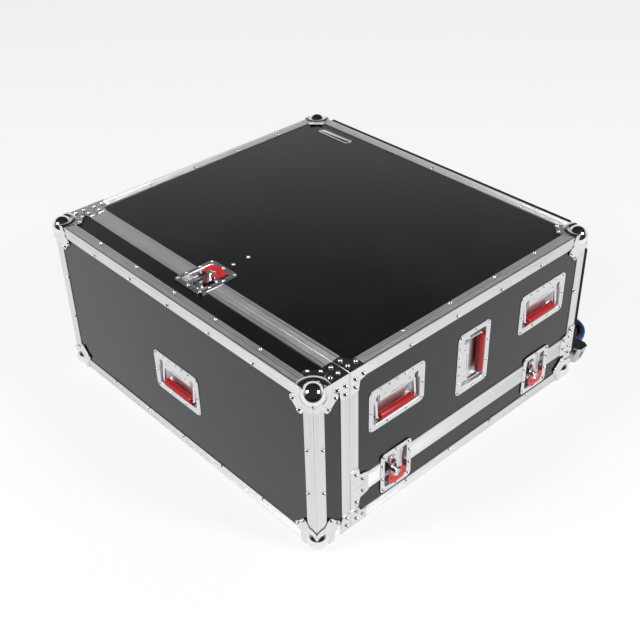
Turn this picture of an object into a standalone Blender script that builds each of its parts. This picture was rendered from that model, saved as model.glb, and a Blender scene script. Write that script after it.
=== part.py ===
"""Flight case for a mixing desk, in metres, +Z up, origin under the middle of its bounding box.

A base tray, a lid that lifts off and a front cover that pulls off, all of laminated board in
aluminium edging, with ball corners, sprung recessed handles, butterfly latches and two swivel
casters on a board behind the base.
"""
import math

import bmesh
import bpy
from mathutils import Matrix, Vector

OBJECT_NAME = "mixer_flight_case"

# Case, measured over its edging
CASE_W = 0.980
CASE_D = 0.916
CASE_H = 0.442
COVER_D = 0.1015
BASE_H = 0.108
SEAM = 0.0004
CLEAR = 0.0003
RUN_CLEAR = 0.0005

# Board and edging
PLY = 0.009
EDGE_T = 0.0015
EDGE_W = 0.030
RAIL_W = 0.025
LIP_T = 0.0013
LIP_RISE = 0.006
LIP_START = 0.010
PLATE_T = 0.0015

# Ball corners
BALL_R = 0.027
BALL_INSET = 0.0165
FOOT_CUT = 0.0005

# Handles
DISH_L = 0.175
DISH_W = 0.113
DISH_RIM = 0.014
DISH_DEPTH = 0.018
DISH_WALL = 0.0012
DISH_CORNER = 0.014
HANDLE_DROP = 0.087
HANDLE_FRONT_INSET = 0.145
HANDLE_REAR_INSET = 0.1585
FRONT_HANDLE_Z = 0.195
GRIP_R = 0.010
GRIP_L = 0.104
GRIP_FLOOR_GAP = 0.003
GRIP_END_GAP = 0.0025
BAIL_R = 0.0038
BAIL_SPREAD = 0.060
AXLE_R = 0.0045
AXLE_FROM_EDGE = 0.0125
HINGE_PLATE_W = 0.0255
SLOT_W = 0.011

# Butterfly latches
LATCH_W = 0.100
LATCH_ROTOR_SIDE = 0.071
LATCH_KEEPER_SIDE = 0.045
LATCH_RIM = 0.013
LATCH_DEPTH = 0.013
LATCH_WALL = 0.001
LATCH_CORNER = 0.012
ROTOR_FROM_SEAM = 0.031
ROTOR_DISC_R = 0.016
ROTOR_DISC_T = 0.0027
BOSS_R = 0.0095
WING_HALF_W = 0.029
WING_REACH = 0.025
WING_HORN = 0.008
WING_T = 0.0032
WING_LIFT = 0.0011
WING_BOSS_GAP = 0.0007
WING_HOLE_R = 0.0028
HOOK_W = 0.018
HOOK_T = 0.0028
HOOK_REACH = 0.010
HOOK_NOSE_H = 0.006

# Board and casters behind the base
BOARD_T = 0.012
BOARD_SIDE_INSET = 0.0005
BOARD_TOP_INSET = 0.002
BOARD_FOOT_INSET = 0.012
BOARD_BALL_GAP = 0.001
CASTER_PLATE_W = 0.100
CASTER_PLATE_H = 0.085
CASTER_PLATE_T = 0.003
CASTER_PLATE_CORNER = 0.008
CASTER_X_INSET = 0.108
CASTER_Z = 0.066
CASTER_DROOP = math.radians(15.0)
RACE_R = 0.030
RACE_T = 0.0087
CROWN_T = 0.0045
CROWN_INSET = 0.002
TRAIL = 0.035
AXLE_HEIGHT = 0.075
WHEEL_R = 0.050
WHEEL_W = 0.034
WHEEL_AXLE_R = 0.006
AXLE_PROUD = 0.001
HUB_WALL = 0.006
HUB_SLOPE = 0.003
FORK_LEG_T = 0.003
FORK_SIDE_GAP = 0.0025
PEDAL_PIVOT = 0.034
PEDAL_END = 0.1155
PEDAL_T = 0.004
PEDAL_DROP = 0.0365
PEDAL_HEEL = 0.003
PEDAL_BEND = 0.006
PEDAL_SIDE_GAP = 0.0008
PEDAL_CHEEK_T = 0.002
PEDAL_LIP = (0.012, 0.004)
PEDAL_WAIST = 0.9
PEDAL_SLOT_W = 0.022
PEDAL_SLOT = (0.42, 0.74)

# Foam bed in the base
FOAM_SIDE_GAP = 0.045
FOAM_END_GAP = 0.022
FOAM_T = 0.030
FOAM_CORNER = 0.020

# Corner plates of the ball corners: outline in distances from the two edges of a face
LOBE_HALF = ((0.018, 0.048), (0.030, 0.060), (0.035, 0.067), (0.045, 0.067), (0.0555, 0.0555))
LOBE_RING = (0.031, 0.038)
LOBE_NOTCH = 0.012
GUSSET_LAP = 0.001
GUSSET_REACH = 0.020

# Riveted braces at the ends of the seams: lengths along the edge, and legs down the seam
BRACE_FRONT = 0.046
BRACE_ROUND_LOBE = ((0.046, 0.010), (0.054, 0.0205), (0.062, 0.0275), (0.069, 0.0305), (0.073, 0.036),
                    (0.073, 0.046))
BRACE_LOBE_GAP = 0.003
BRACE_BACK = 0.0525
BRACE_TOP_BACK = 0.042
BRACE_BOTTOM_BACK = 0.050
BRACE_SIDE_LEG = 0.060
BRACE_LEVEL_LEG = 0.052
BRACE_LOW_LEG = BASE_H * 0.426
BRACE_LOW_NARROW = (0.022, 0.028, 0.030)
BRACE_LOW_CORNER = 0.010
BRACE_END_STEP = (0.002, 0.006, 0.009)
BRACE_END_CORNER = 0.010
BRACE_LEG_START = 0.004
TEE_LENGTH = 0.056
TEE_LEG = BASE_H * 0.5185
REAR_PLATE_L = 0.054
REAR_PLATE_UP = 0.050
REAR_PLATE_DOWN = BASE_H / 3
REAR_BAND = 0.023
SIDE_EDGE = -PLATE_T * 0.8
LEVEL_EDGE = -PLATE_T * 0.6

SKIN = EDGE_T + CLEAR
WALL = SKIN + PLY
LIP_IN = WALL + RUN_CLEAR
BALL_OUT = BALL_R - BALL_INSET
FOOT = BALL_OUT - FOOT_CUT
CASTER_OUT = AXLE_HEIGHT + WHEEL_R
Y_FRONT = BALL_OUT - (BALL_OUT + CASE_D + BOARD_T + CASTER_OUT) / 2
CASE_ORIGIN = Vector((0.0, Y_FRONT, FOOT))
HALF_W = CASE_W / 2
COVER_BACK = COVER_D - SEAM / 2
LID_FRONT = COVER_D + SEAM / 2
BASE_TOP = BASE_H - SEAM / 2
LID_FOOT = BASE_H + SEAM / 2
FLANGE_LOW = -EDGE_T
FLANGE_HIGH = -CLEAR
LATCH_TOP = PLATE_T
WING_LOW = LATCH_TOP + WING_LIFT
WING_HIGH = WING_LOW + WING_T
OUT = 0.010
WELD = 0.000005
SPACE_SIDES = 12
SPACE_RINGS = 8

SIDES = {"right": 1.0, "left": -1.0}


def remove_everything():
    """Start from an empty scene."""
    for item in list(bpy.data.objects):
        bpy.data.objects.remove(item, do_unlink=True)


def new_collection(name):
    """Return a collection linked to the scene."""
    collection = bpy.data.collections.new(name)
    bpy.context.scene.collection.children.link(collection)
    return collection


def new_material(name, colour, roughness, metallic):
    """Return a Principled BSDF material."""
    material = bpy.data.materials.new(name)
    material.use_nodes = True
    shader = material.node_tree.nodes["Principled BSDF"]
    shader.inputs["Base Color"].default_value = (*colour, 1.0)
    shader.inputs["Roughness"].default_value = roughness
    shader.inputs["Metallic"].default_value = metallic
    return material


def tool_object(name, bm):
    """Turn a bmesh into an object among the cutters."""
    mesh = bpy.data.meshes.new(name)
    bmesh.ops.recalc_face_normals(bm, faces=bm.faces)
    bm.to_mesh(mesh)
    bm.free()
    item = bpy.data.objects.new(name, mesh)
    item.hide_render = True
    item.display_type = "WIRE"
    CUTTERS.objects.link(item)
    return item


def block(low, high):
    """A box between two corners."""
    low = Vector(low)
    high = Vector(high)
    bm = bmesh.new()
    matrix = Matrix.Translation((low + high) / 2) @ Matrix.Diagonal((*(high - low), 1.0))
    bmesh.ops.create_cube(bm, size=1.0, matrix=matrix)
    return tool_object("block", bm)


def rounded_block(low, high, radius, segments):
    """A box between two corners, with its four upright edges rounded."""
    low = Vector(low)
    high = Vector(high)
    bm = bmesh.new()
    matrix = Matrix.Translation((low + high) / 2) @ Matrix.Diagonal((*(high - low), 1.0))
    bmesh.ops.create_cube(bm, size=1.0, matrix=matrix)
    upright = [e for e in bm.edges if abs(e.verts[0].co.z - e.verts[1].co.z) > (high.z - low.z) / 2]
    bmesh.ops.bevel(bm, geom=upright, offset=radius, segments=segments, profile=0.5, affect="EDGES")
    return tool_object("rounded_block", bm)


def drum(centre, axis, radius, length, segments):
    """A cylinder about a centre, along an axis."""
    bm = bmesh.new()
    turn = Vector(axis).to_track_quat("Z", "Y").to_matrix().to_4x4()
    bmesh.ops.create_cone(bm, cap_ends=True, segments=segments, radius1=radius, radius2=radius,
                          depth=length, matrix=Matrix.Translation(centre) @ turn)
    return tool_object("drum", bm)


def ball(centre, radius, segments, rings):
    """A sphere about a centre."""
    bm = bmesh.new()
    bmesh.ops.create_uvsphere(bm, u_segments=segments, v_segments=rings, radius=radius,
                              matrix=Matrix.Translation(centre))
    return tool_object("ball", bm)


def curve_to_tool(curve, merge):
    """Make a curve object's evaluated surface a mesh among the cutters, and drop the curve."""
    item = bpy.data.objects.new(curve.name, curve)
    CUTTERS.objects.link(item)
    bpy.context.view_layer.update()
    depsgraph = bpy.context.evaluated_depsgraph_get()
    mesh = bpy.data.meshes.new_from_object(item.evaluated_get(depsgraph))
    bm = bmesh.new()
    bm.from_mesh(mesh)
    bmesh.ops.remove_doubles(bm, verts=bm.verts, dist=merge)
    bpy.data.objects.remove(item, do_unlink=True)
    bpy.data.meshes.remove(mesh)
    return tool_object("outline", bm)


def plate(outlines, low, high, frame=Matrix.Identity(4)):
    """A flat plate from closed outlines, the inner ones being holes, between two heights."""
    curve = bpy.data.curves.new("outline", "CURVE")
    curve.dimensions = "2D"
    curve.fill_mode = "BOTH"
    curve.extrude = (high - low) / 2
    for outline in outlines:
        spline = curve.splines.new("POLY")
        spline.points.add(len(outline) - 1)
        for point, (x, y) in zip(spline.points, outline):
            point.co = (x, y, 0.0, 1.0)
        spline.use_cyclic_u = True
    item = curve_to_tool(curve, 0.00001)
    move(item, frame @ Matrix.Translation((0.0, 0.0, (low + high) / 2)))
    return item


def rod(points, radius, resolution):
    """A round rod along straight runs between points, with filled ends."""
    curve = bpy.data.curves.new("rod", "CURVE")
    curve.dimensions = "3D"
    curve.bevel_depth = radius
    curve.bevel_resolution = resolution
    curve.use_fill_caps = True
    spline = curve.splines.new("POLY")
    spline.points.add(len(points) - 1)
    for point, place in zip(spline.points, points):
        point.co = (*place, 1.0)
    return curve_to_tool(curve, 0.00001)


def move(item, matrix):
    """Move a mesh by a matrix, and keep its faces outward when the matrix mirrors it."""
    item.data.transform(matrix)
    if matrix.determinant() < 0:
        item.data.flip_normals()


def joined(items):
    """Join tools that don't touch one another into one tool."""
    bm = bmesh.new()
    for item in items:
        bm.from_mesh(item.data)
        drop(item)
    return tool_object("group", bm)


def drop(item):
    """Remove a tool with its mesh."""
    mesh = item.data
    bpy.data.objects.remove(item, do_unlink=True)
    bpy.data.meshes.remove(mesh)


def boolean(item, tool, operation):
    """Apply an exact Boolean and drop the tool."""
    modifier = item.modifiers.new(operation.lower(), "BOOLEAN")
    modifier.operation = operation
    modifier.solver = "EXACT"
    modifier.object = tool
    bpy.context.view_layer.update()
    depsgraph = bpy.context.evaluated_depsgraph_get()
    result = bpy.data.meshes.new_from_object(item.evaluated_get(depsgraph))
    old = item.data
    item.modifiers.clear()
    item.data = result
    bpy.data.meshes.remove(old)
    drop(tool)
    weld(item.data)
    return item


def weld(mesh):
    """Merge the points that a cut leaves on top of one another."""
    bm = bmesh.new()
    bm.from_mesh(mesh)
    bmesh.ops.remove_doubles(bm, verts=bm.verts, dist=WELD)
    bm.to_mesh(mesh)
    bm.free()


def cut(item, tool):
    """Take a tool away from an item."""
    return boolean(item, tool, "DIFFERENCE")


def fuse(item, tool):
    """Join a tool to an item it overlaps."""
    return boolean(item, tool, "UNION")


def tidy_mesh(mesh):
    """Weld, dissolve flat seams and set the shading of a finished mesh."""
    bm = bmesh.new()
    bm.from_mesh(mesh)
    bmesh.ops.remove_doubles(bm, verts=bm.verts, dist=WELD)
    bmesh.ops.dissolve_limit(bm, angle_limit=math.radians(0.2), verts=bm.verts, edges=bm.edges)
    bm.to_mesh(mesh)
    bm.free()
    mesh.shade_smooth()
    mesh.set_sharp_from_angle(angle=math.radians(32.0))


def finish(item, name, material, matrix=None):
    """Name a tool as a part, give it its material and put it in its place."""
    CUTTERS.objects.unlink(item)
    PARTS.objects.link(item)
    item.name = name
    item.data.name = name
    item.hide_render = False
    item.display_type = "TEXTURED"
    item.data.materials.clear()
    item.data.materials.append(material)
    tidy_mesh(item.data)
    item.matrix_world = Matrix.Translation(CASE_ORIGIN) if matrix is None else matrix
    return item


def copy_part(item, name, matrix):
    """Another object on the same mesh."""
    twin = bpy.data.objects.new(name, item.data)
    PARTS.objects.link(twin)
    twin.matrix_world = matrix
    return twin


def face_frame(place, up, out):
    """A frame on a face of the case: Y along up, Z along out."""
    up = Vector(up)
    out = Vector(out)
    right = up.cross(out)
    turn = Matrix((right, up, out)).transposed().to_4x4()
    return Matrix.Translation(CASE_ORIGIN + Vector(place)) @ turn


def handle_frames():
    """The seven handles' frames, at the middle of each dish in the plane of the edging."""
    top = CASE_H - HANDLE_DROP
    front = COVER_D + HANDLE_FRONT_INSET
    rear = CASE_D - HANDLE_REAR_INSET
    frames = {}
    for side, sign in SIDES.items():
        out = (sign, 0.0, 0.0)
        x = sign * HALF_W
        frames[side + "_front"] = face_frame((x, front, top - DISH_W / 2), (0, 0, 1), out)
        frames[side + "_middle"] = face_frame((x, (front + rear) / 2, top - DISH_L / 2), (0, -1, 0), out)
        frames[side + "_rear"] = face_frame((x, rear, top - DISH_W / 2), (0, 0, 1), out)
    frames["front"] = face_frame((0.0, 0.0, FRONT_HANDLE_Z), (0, 0, 1), (0, -1, 0))
    return frames


def latch_frames():
    """The five latches' frames, on the seam: Y from the rotor to the keeper."""
    front = COVER_D + HANDLE_FRONT_INSET
    rear = CASE_D - HANDLE_REAR_INSET
    frames = {}
    for side, sign in SIDES.items():
        for end, y in (("front", front), ("rear", rear)):
            place = (sign * HALF_W, y, BASE_H)
            frames[side + "_" + end] = face_frame(place, (0, 0, 1), (sign, 0.0, 0.0))
    frames["top"] = face_frame((0.0, COVER_D, CASE_H), (0, -1, 0), (0, 0, 1))
    return frames


def to_case(frame):
    """The same frame in the case's own coordinates."""
    return Matrix.Translation(-CASE_ORIGIN) @ frame


def handle_recess(frame):
    """The hole that a handle dish needs in its panel."""
    grow = DISH_WALL + RUN_CLEAR
    x = DISH_L / 2 - DISH_RIM + grow
    y = DISH_W / 2 - DISH_RIM + grow
    tool = block((-x, -y, -DISH_DEPTH - OUT), (x, y, OUT))
    move(tool, to_case(frame))
    return tool


def latch_recess(frame):
    """The hole that both halves of a latch dish need in their panels and edging."""
    grow = LATCH_WALL + RUN_CLEAR
    x = LATCH_W / 2 - LATCH_RIM + grow
    low = -LATCH_ROTOR_SIDE + LATCH_RIM - grow
    high = LATCH_KEEPER_SIDE - LATCH_RIM + grow
    tool = block((-x, low, -LATCH_DEPTH - OUT), (x, high, OUT))
    move(tool, to_case(frame))
    return tool


def latch_backing(frame):
    """The strip under a rotor half's rim that carries the rail round the dish."""
    inset = LATCH_RIM * 0.45
    x = LATCH_W / 2 - inset
    tool = block((-x, -LATCH_ROTOR_SIDE + inset, -EDGE_T * 0.9), (x, -RAIL_W / 2, -EDGE_T * 0.1))
    move(tool, to_case(frame))
    return tool


def dish(length_x, low_y, high_y, rim, depth, wall, corner, flange):
    """A pressed dish with a rim around it, its rim between the two flange heights."""
    x = length_x / 2
    open_low = (-x + rim, low_y + rim)
    open_high = (x - rim, high_y - rim)
    inner = corner * 0.6
    body = rounded_block((-x, low_y, flange[0]), (x, high_y, flange[1]), corner, 3)
    tray = rounded_block((open_low[0] - wall, open_low[1] - wall, -depth - wall),
                         (open_high[0] + wall, open_high[1] + wall, (flange[0] + flange[1]) / 2),
                         inner + wall, 2)
    pocket = rounded_block((*open_low, -depth), (*open_high, OUT), inner, 2)
    return cut(fuse(body, tray), pocket)


def handle_dish():
    """The dish, with the slotted plate across its top that covers the bail's axle."""
    item = dish(DISH_L, -DISH_W / 2, DISH_W / 2, DISH_RIM, DISH_DEPTH, DISH_WALL, DISH_CORNER,
                (FLANGE_LOW, FLANGE_HIGH))
    bite = DISH_WALL / 3
    skim = (FLANGE_HIGH - FLANGE_LOW) / 12
    x = DISH_L / 2 - DISH_RIM + bite
    top = DISH_W / 2 - DISH_RIM
    cover = block((-x, top - HINGE_PLATE_W, FLANGE_LOW + skim), (x, top + bite, FLANGE_HIGH - skim))
    fuse(item, cover)
    slot_top = top - AXLE_FROM_EDGE + AXLE_R + RUN_CLEAR * 3
    slots = [block((s * BAIL_SPREAD - SLOT_W / 2, top - HINGE_PLATE_W - OUT, FLANGE_LOW - CLEAR),
                   (s * BAIL_SPREAD + SLOT_W / 2, slot_top, OUT)) for s in SIDES.values()]
    return cut(item, joined(slots))


def axle_place():
    """The bail's axle in the handle's frame: height up the dish and depth into it."""
    up = DISH_W / 2 - DISH_RIM - AXLE_FROM_EDGE
    return up, -DISH_DEPTH / 2


def handle_bail():
    """The steel bail with its moulded grip, about its own axle."""
    up, depth = axle_place()
    grip_y = -(DISH_W / 2 - DISH_RIM) + GRIP_R + GRIP_END_GAP - up
    grip_z = -DISH_DEPTH + GRIP_FLOOR_GAP + GRIP_R - depth
    bend = GRIP_R * 0.75
    half = []
    for angle in (0.0, 45.0, 90.0):
        swing = math.radians(angle)
        half.append((BAIL_SPREAD - bend + bend * math.cos(swing), grip_y + bend - bend * math.sin(swing)))
    run = [(BAIL_SPREAD, 0.0)] + half
    points = [(x, y, grip_z * min(1.0, y / grip_y)) for x, y in run]
    mirrored = [(-x, y, z) for x, y, z in reversed(points)]
    axle_half = DISH_L / 2 - DISH_RIM - CLEAR
    item = drum((0, 0, 0), (1, 0, 0), AXLE_R, axle_half * 2, 8)
    fuse(item, rod(points + mirrored, BAIL_R, 2))
    return fuse(item, drum((0, grip_y, grip_z), (1, 0, 0), GRIP_R, GRIP_L, 12))


def latch_dish(low):
    """Both halves of a latch dish in one, its rim reaching down to the given height."""
    return dish(LATCH_W, -LATCH_ROTOR_SIDE, LATCH_KEEPER_SIDE, LATCH_RIM, LATCH_DEPTH, LATCH_WALL,
                LATCH_CORNER, (low, LATCH_TOP))


def latch_rotor_half():
    """The half of the dish that carries the rotor."""
    item = latch_dish(CLEAR)
    far = LATCH_KEEPER_SIDE + OUT
    return cut(item, block((-LATCH_W, -SEAM / 2, -far), (LATCH_W, far, far)))


def latch_keeper_half(frame):
    """The half of the dish across the seam, which is riveted into the edging there."""
    item = latch_dish(-CLEAR)
    far = LATCH_ROTOR_SIDE + OUT
    cut(item, block((-LATCH_W, -far, -far), (LATCH_W, SEAM, far)))
    move(item, to_case(frame))
    return item


def latch_rotor():
    """The turning disc with the boss that carries the wing, about its own axis."""
    low = -LATCH_DEPTH + CLEAR
    top = low + ROTOR_DISC_T
    item = drum((0, 0, (low + top) / 2), (0, 0, 1), ROTOR_DISC_R, ROTOR_DISC_T, 16)
    start = (low + top) / 2
    return fuse(item, drum((0, 0, (start + WING_HIGH) / 2), (0, 0, 1), BOSS_R, WING_HIGH - start, 12))


def circle(centre, radius, count):
    """Points round a circle."""
    turns = [2 * math.pi * i / count for i in range(count)]
    return [(centre[0] + radius * math.cos(t), centre[1] + radius * math.sin(t)) for t in turns]


def latch_wing():
    """The folding wing: two horns round a notch that clears the boss, about the fold axis."""
    notch = BOSS_R + WING_BOSS_GAP
    w = WING_HALF_W
    right = [(notch, WING_HORN), (w * 0.76, WING_HORN), (w * 0.95, WING_HORN * 0.4),
             (w, -WING_REACH * 0.3), (w * 0.93, -WING_REACH * 0.72), (w * 0.70, -WING_REACH * 0.96),
             (w * 0.25, -WING_REACH)]
    left = [(-x, y) for x, y in reversed(right)]
    arc = [(notch * math.cos(math.radians(a)), notch * math.sin(math.radians(a)))
           for a in range(180, 361, 30)]
    holes = [circle((s * w * 0.68, -WING_REACH * 0.2), WING_HOLE_R, 8) for s in SIDES.values()]
    return plate([right + left + arc] + holes, -WING_T / 2, WING_T / 2)


def latch_hook():
    """The draw hook in front of the rotor, in the latch's frame."""
    low = -LATCH_DEPTH + CLEAR
    start = -ROTOR_FROM_SEAM + ROTOR_DISC_R + RUN_CLEAR
    item = block((-HOOK_W / 2, start, low), (HOOK_W / 2, HOOK_REACH, low + HOOK_T))
    nose = block((-HOOK_W / 2 + HOOK_T / 4, HOOK_REACH - HOOK_T * 1.5, low + HOOK_T / 2),
                 (HOOK_W / 2 - HOOK_T / 4, HOOK_REACH - HOOK_T / 2, low + HOOK_NOSE_H))
    return fuse(item, nose)


def skin_box(low, high):
    """A closed box of edging thickness."""
    inset = Vector((EDGE_T, EDGE_T, EDGE_T))
    return cut(block(low, high), block(Vector(low) + inset, Vector(high) - inset))


def ball_spaces(corners):
    """The room that ball corners need in the edging, round facets that stay outside the ball."""
    tools = []
    radius = (BALL_R + CLEAR) / (math.cos(math.pi / SPACE_SIDES) * math.cos(math.pi / SPACE_RINGS / 2))
    for x, y, z in corners:
        inward = Vector((-x, 1 - 2 * y, 1 - 2 * z))
        corner = Vector((x * HALF_W, y * CASE_D, z * CASE_H))
        space = ball(corner + inward * BALL_INSET, radius, SPACE_SIDES, SPACE_RINGS)
        tip = corner + inward * BALL_INSET * 0.9
        away = corner - inward * OUT
        low = [min(a, b) for a, b in zip(tip, away)]
        high = [max(a, b) for a, b in zip(tip, away)]
        tools.append(fuse(space, block(low, high)))
    return joined(tools)


def side_windows(y0, y1, z0, z1):
    """Windows through the left and right faces."""
    return [block((s * HALF_W - OUT / 2, y0, z0), (s * HALF_W + OUT / 2, y1, z1)) for s in SIDES.values()]


def side_frame(sign):
    """Plate coordinates (y, z) on a side face."""
    turn = Matrix(((0, 1, 0), (0, 0, 1), (sign, 0, 0))).transposed().to_4x4()
    return Matrix.Translation((sign * HALF_W, 0, 0)) @ turn


def level_frame(sign, z, out):
    """Plate coordinates (y, distance in from a side) on the top or bottom face."""
    turn = Matrix(((0, 1, 0), (-sign, 0, 0), (0, 0, out))).transposed().to_4x4()
    return Matrix.Translation((sign * HALF_W, 0, z)) @ turn


def brace_end(length, leg, band, edge):
    """Half of a brace behind a seam: along an edge, reaching past it, and down the seam."""
    low, middle, high = (band + step for step in BRACE_END_STEP)
    return [(0.0, edge), (length, edge), (length, low), (length - BRACE_END_CORNER, middle),
            (band + BRACE_LEG_START, high), (band, leg), (0.0, leg)]


def front_brace(leg, edge, back):
    """Half of a brace on the front cover, which runs round the ball corner's lobe."""
    return ([(back, edge), (back, leg), (BRACE_ROUND_LOBE[-1][0] + BRACE_LOBE_GAP, leg)]
            + list(reversed(BRACE_ROUND_LOBE)) + [(BRACE_FRONT, edge)])


def low_front_brace(leg, edge, back):
    """The shorter half brace at the foot of the front cover."""
    top, middle, foot = (back - narrow for narrow in BRACE_LOW_NARROW)
    return [(back, edge), (back, leg), (top, leg), (middle, leg - BRACE_LOW_CORNER), (foot, edge)]


def shifted(points, start, up=1.0, foot=0.0):
    """Move an outline along the seam's normal, and turn its height over where up is -1."""
    return [(x + start, foot + up * y) for x, y in points]


def rear_brace(down, up):
    """Half of the plate over the horizontal seam's rear end, above or below the seam."""
    points = brace_end(REAR_PLATE_L, down, REAR_BAND, SIDE_EDGE)
    return [(CASE_D + PLATE_T - x, BASE_H + up * max(y, SEAM)) for x, y in points]


def tee_brace(up):
    """Half of the plate where the horizontal seam meets the front cover."""
    points = brace_end(TEE_LENGTH, TEE_LEG, RAIL_W, SIDE_EDGE)
    return [(LID_FRONT + SEAM + x, BASE_H + up * max(y, SEAM)) for x, y in points]


def side_plates(outlines):
    """The same plates on the left and right faces."""
    return joined([plate([points], -CLEAR, PLATE_T, side_frame(s)) for s in SIDES.values()
                   for points in outlines])


def level_plates(points, z, out):
    """The same plate at the left and right of the top or bottom face."""
    return joined([plate([points], -CLEAR / 2, PLATE_T * 0.95, level_frame(s, z, out))
                   for s in SIDES.values()])


def gussets(back, top, on_sides):
    """Strips under the ball corners' lobes that carry one length of edging into the next."""
    near = EDGE_W - GUSSET_LAP
    far = EDGE_W + GUSSET_REACH
    height = -EDGE_T * 0.9, -EDGE_T * 0.1
    start = back * CASE_D
    along = 1.0 - 2 * back
    points = [(start + along * x, y) for x, y in ((near, near), (far, near), (near, far))]
    out = 2.0 * top - 1.0
    items = [plate([points], *height, level_frame(s, top * CASE_H, out)) for s in SIDES.values()]
    if on_sides:
        upright = [(x, top * CASE_H - out * y) for x, y in points]
        items += [plate([upright], *height, side_frame(s)) for s in SIDES.values()]
    return joined(items)


def lid_braces():
    """The plates on the lid's edging: side plates and top plates."""
    side = shifted(brace_end(BRACE_BACK, BRACE_SIDE_LEG, RAIL_W, SIDE_EDGE), LID_FRONT + SEAM, -1.0, CASE_H)
    top = shifted(brace_end(BRACE_TOP_BACK, BRACE_LEVEL_LEG, RAIL_W, LEVEL_EDGE), LID_FRONT + SEAM * 2)
    upright = [side, tee_brace(1.0), rear_brace(REAR_PLATE_UP, 1.0)]
    return side_plates(upright), level_plates(top, CASE_H, 1.0)


def base_braces():
    """The plates on the base's edging: side plates and bottom plates."""
    side = shifted(brace_end(BRACE_BOTTOM_BACK, BRACE_LOW_LEG, RAIL_W, SIDE_EDGE), LID_FRONT + SEAM)
    foot = shifted(brace_end(BRACE_BOTTOM_BACK, BRACE_LOW_LEG, RAIL_W, LEVEL_EDGE), LID_FRONT + SEAM * 2)
    upright = [side, tee_brace(-1.0), rear_brace(REAR_PLATE_DOWN, -1.0)]
    return side_plates(upright), level_plates(foot, 0.0, -1.0)


def cover_braces():
    """The plates on the front cover's edging."""
    back = COVER_BACK - SEAM
    inner = COVER_BACK - SEAM * 2
    upper = shifted(front_brace(BRACE_SIDE_LEG, SIDE_EDGE, back), 0.0, -1.0, CASE_H)
    lower = low_front_brace(BRACE_LOW_LEG, SIDE_EDGE, back)
    top = front_brace(BRACE_LEVEL_LEG, LEVEL_EDGE, inner)
    foot = low_front_brace(BRACE_LOW_LEG, LEVEL_EDGE, inner)
    return side_plates([upper, lower]), level_plates(top, CASE_H, 1.0), level_plates(foot, 0.0, -1.0)


def base_edging(latches):
    """Edging of the base: corner angles, a rail at each seam and the lip that the lid fits over."""
    item = skin_box((-HALF_W, LID_FRONT, 0.0), (HALF_W, CASE_D, BASE_TOP))
    lip_face = HALF_W - LIP_IN
    lip_back = CASE_D - LIP_IN
    mouth = LIP_IN + LIP_T
    cut(item, block((-HALF_W + mouth, LID_FRONT - OUT, BASE_TOP - WALL),
                    (HALF_W - mouth, CASE_D - mouth, BASE_TOP + OUT)))
    cut(item, block((-HALF_W + WALL, LID_FRONT - OUT, WALL),
                    (HALF_W - WALL, LID_FRONT + OUT, BASE_TOP + OUT)))
    low = EDGE_W
    high = BASE_TOP - RAIL_W
    front = LID_FRONT + RAIL_W
    back = CASE_D - EDGE_W
    half = HALF_W - EDGE_W
    windows = side_windows(front, back, low, high)
    windows.append(block((-half, CASE_D - OUT / 2, low), (half, CASE_D + OUT / 2, high)))
    windows.append(block((-half, front, -OUT / 2), (half, back, OUT / 2)))
    cut(item, joined(windows))
    lip_foot = BASE_TOP - EDGE_T / 2
    lip = block((-lip_face, LID_FRONT + LIP_START, lip_foot), (lip_face, lip_back, BASE_TOP + LIP_RISE))
    thin = LIP_T * 0.9
    hollow = block((-lip_face + thin, LID_FRONT, lip_foot - OUT),
                   (lip_face - thin, lip_back - thin, BASE_TOP + LIP_RISE + OUT))
    fuse(item, cut(lip, hollow))
    frames = [latches[side + "_" + end] for side in SIDES for end in ("front", "rear")]
    fuse(item, joined([latch_backing(frame) for frame in frames]))
    cut(item, joined([latch_recess(frame) for frame in frames]))
    fuse(item, gussets(1, 0, False))
    cut(item, ball_spaces([(s, 1, 0) for s in SIDES.values()]))
    for plates in base_braces():
        fuse(item, plates)
    return item


def lid_edging(latches):
    """Edging of the lid, with the keeper halves of the four side latches."""
    item = skin_box((-HALF_W, LID_FRONT, LID_FOOT), (HALF_W, CASE_D, CASE_H))
    cut(item, block((-HALF_W + WALL, LID_FRONT - OUT, LID_FOOT - OUT),
                    (HALF_W - WALL, CASE_D - WALL, CASE_H - WALL)))
    front = LID_FRONT + RAIL_W
    back = CASE_D - EDGE_W
    low = LID_FOOT + RAIL_W
    high = CASE_H - EDGE_W
    half = HALF_W - EDGE_W
    windows = side_windows(front, back, low, high)
    windows.append(block((-half, CASE_D - OUT / 2, low), (half, CASE_D + OUT / 2, high)))
    windows.append(block((-half, front, CASE_H - OUT / 2), (half, back, CASE_H + OUT / 2)))
    cut(item, joined(windows))
    cut(item, joined([latch_recess(frame) for frame in latches.values()]))
    fuse(item, gussets(1, 1, False))
    cut(item, ball_spaces([(s, 1, 1) for s in SIDES.values()]))
    keepers = [latch_keeper_half(frame) for name, frame in latches.items() if name != "top"]
    fuse(item, joined(keepers))
    for plates in lid_braces():
        fuse(item, plates)
    return item


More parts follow.
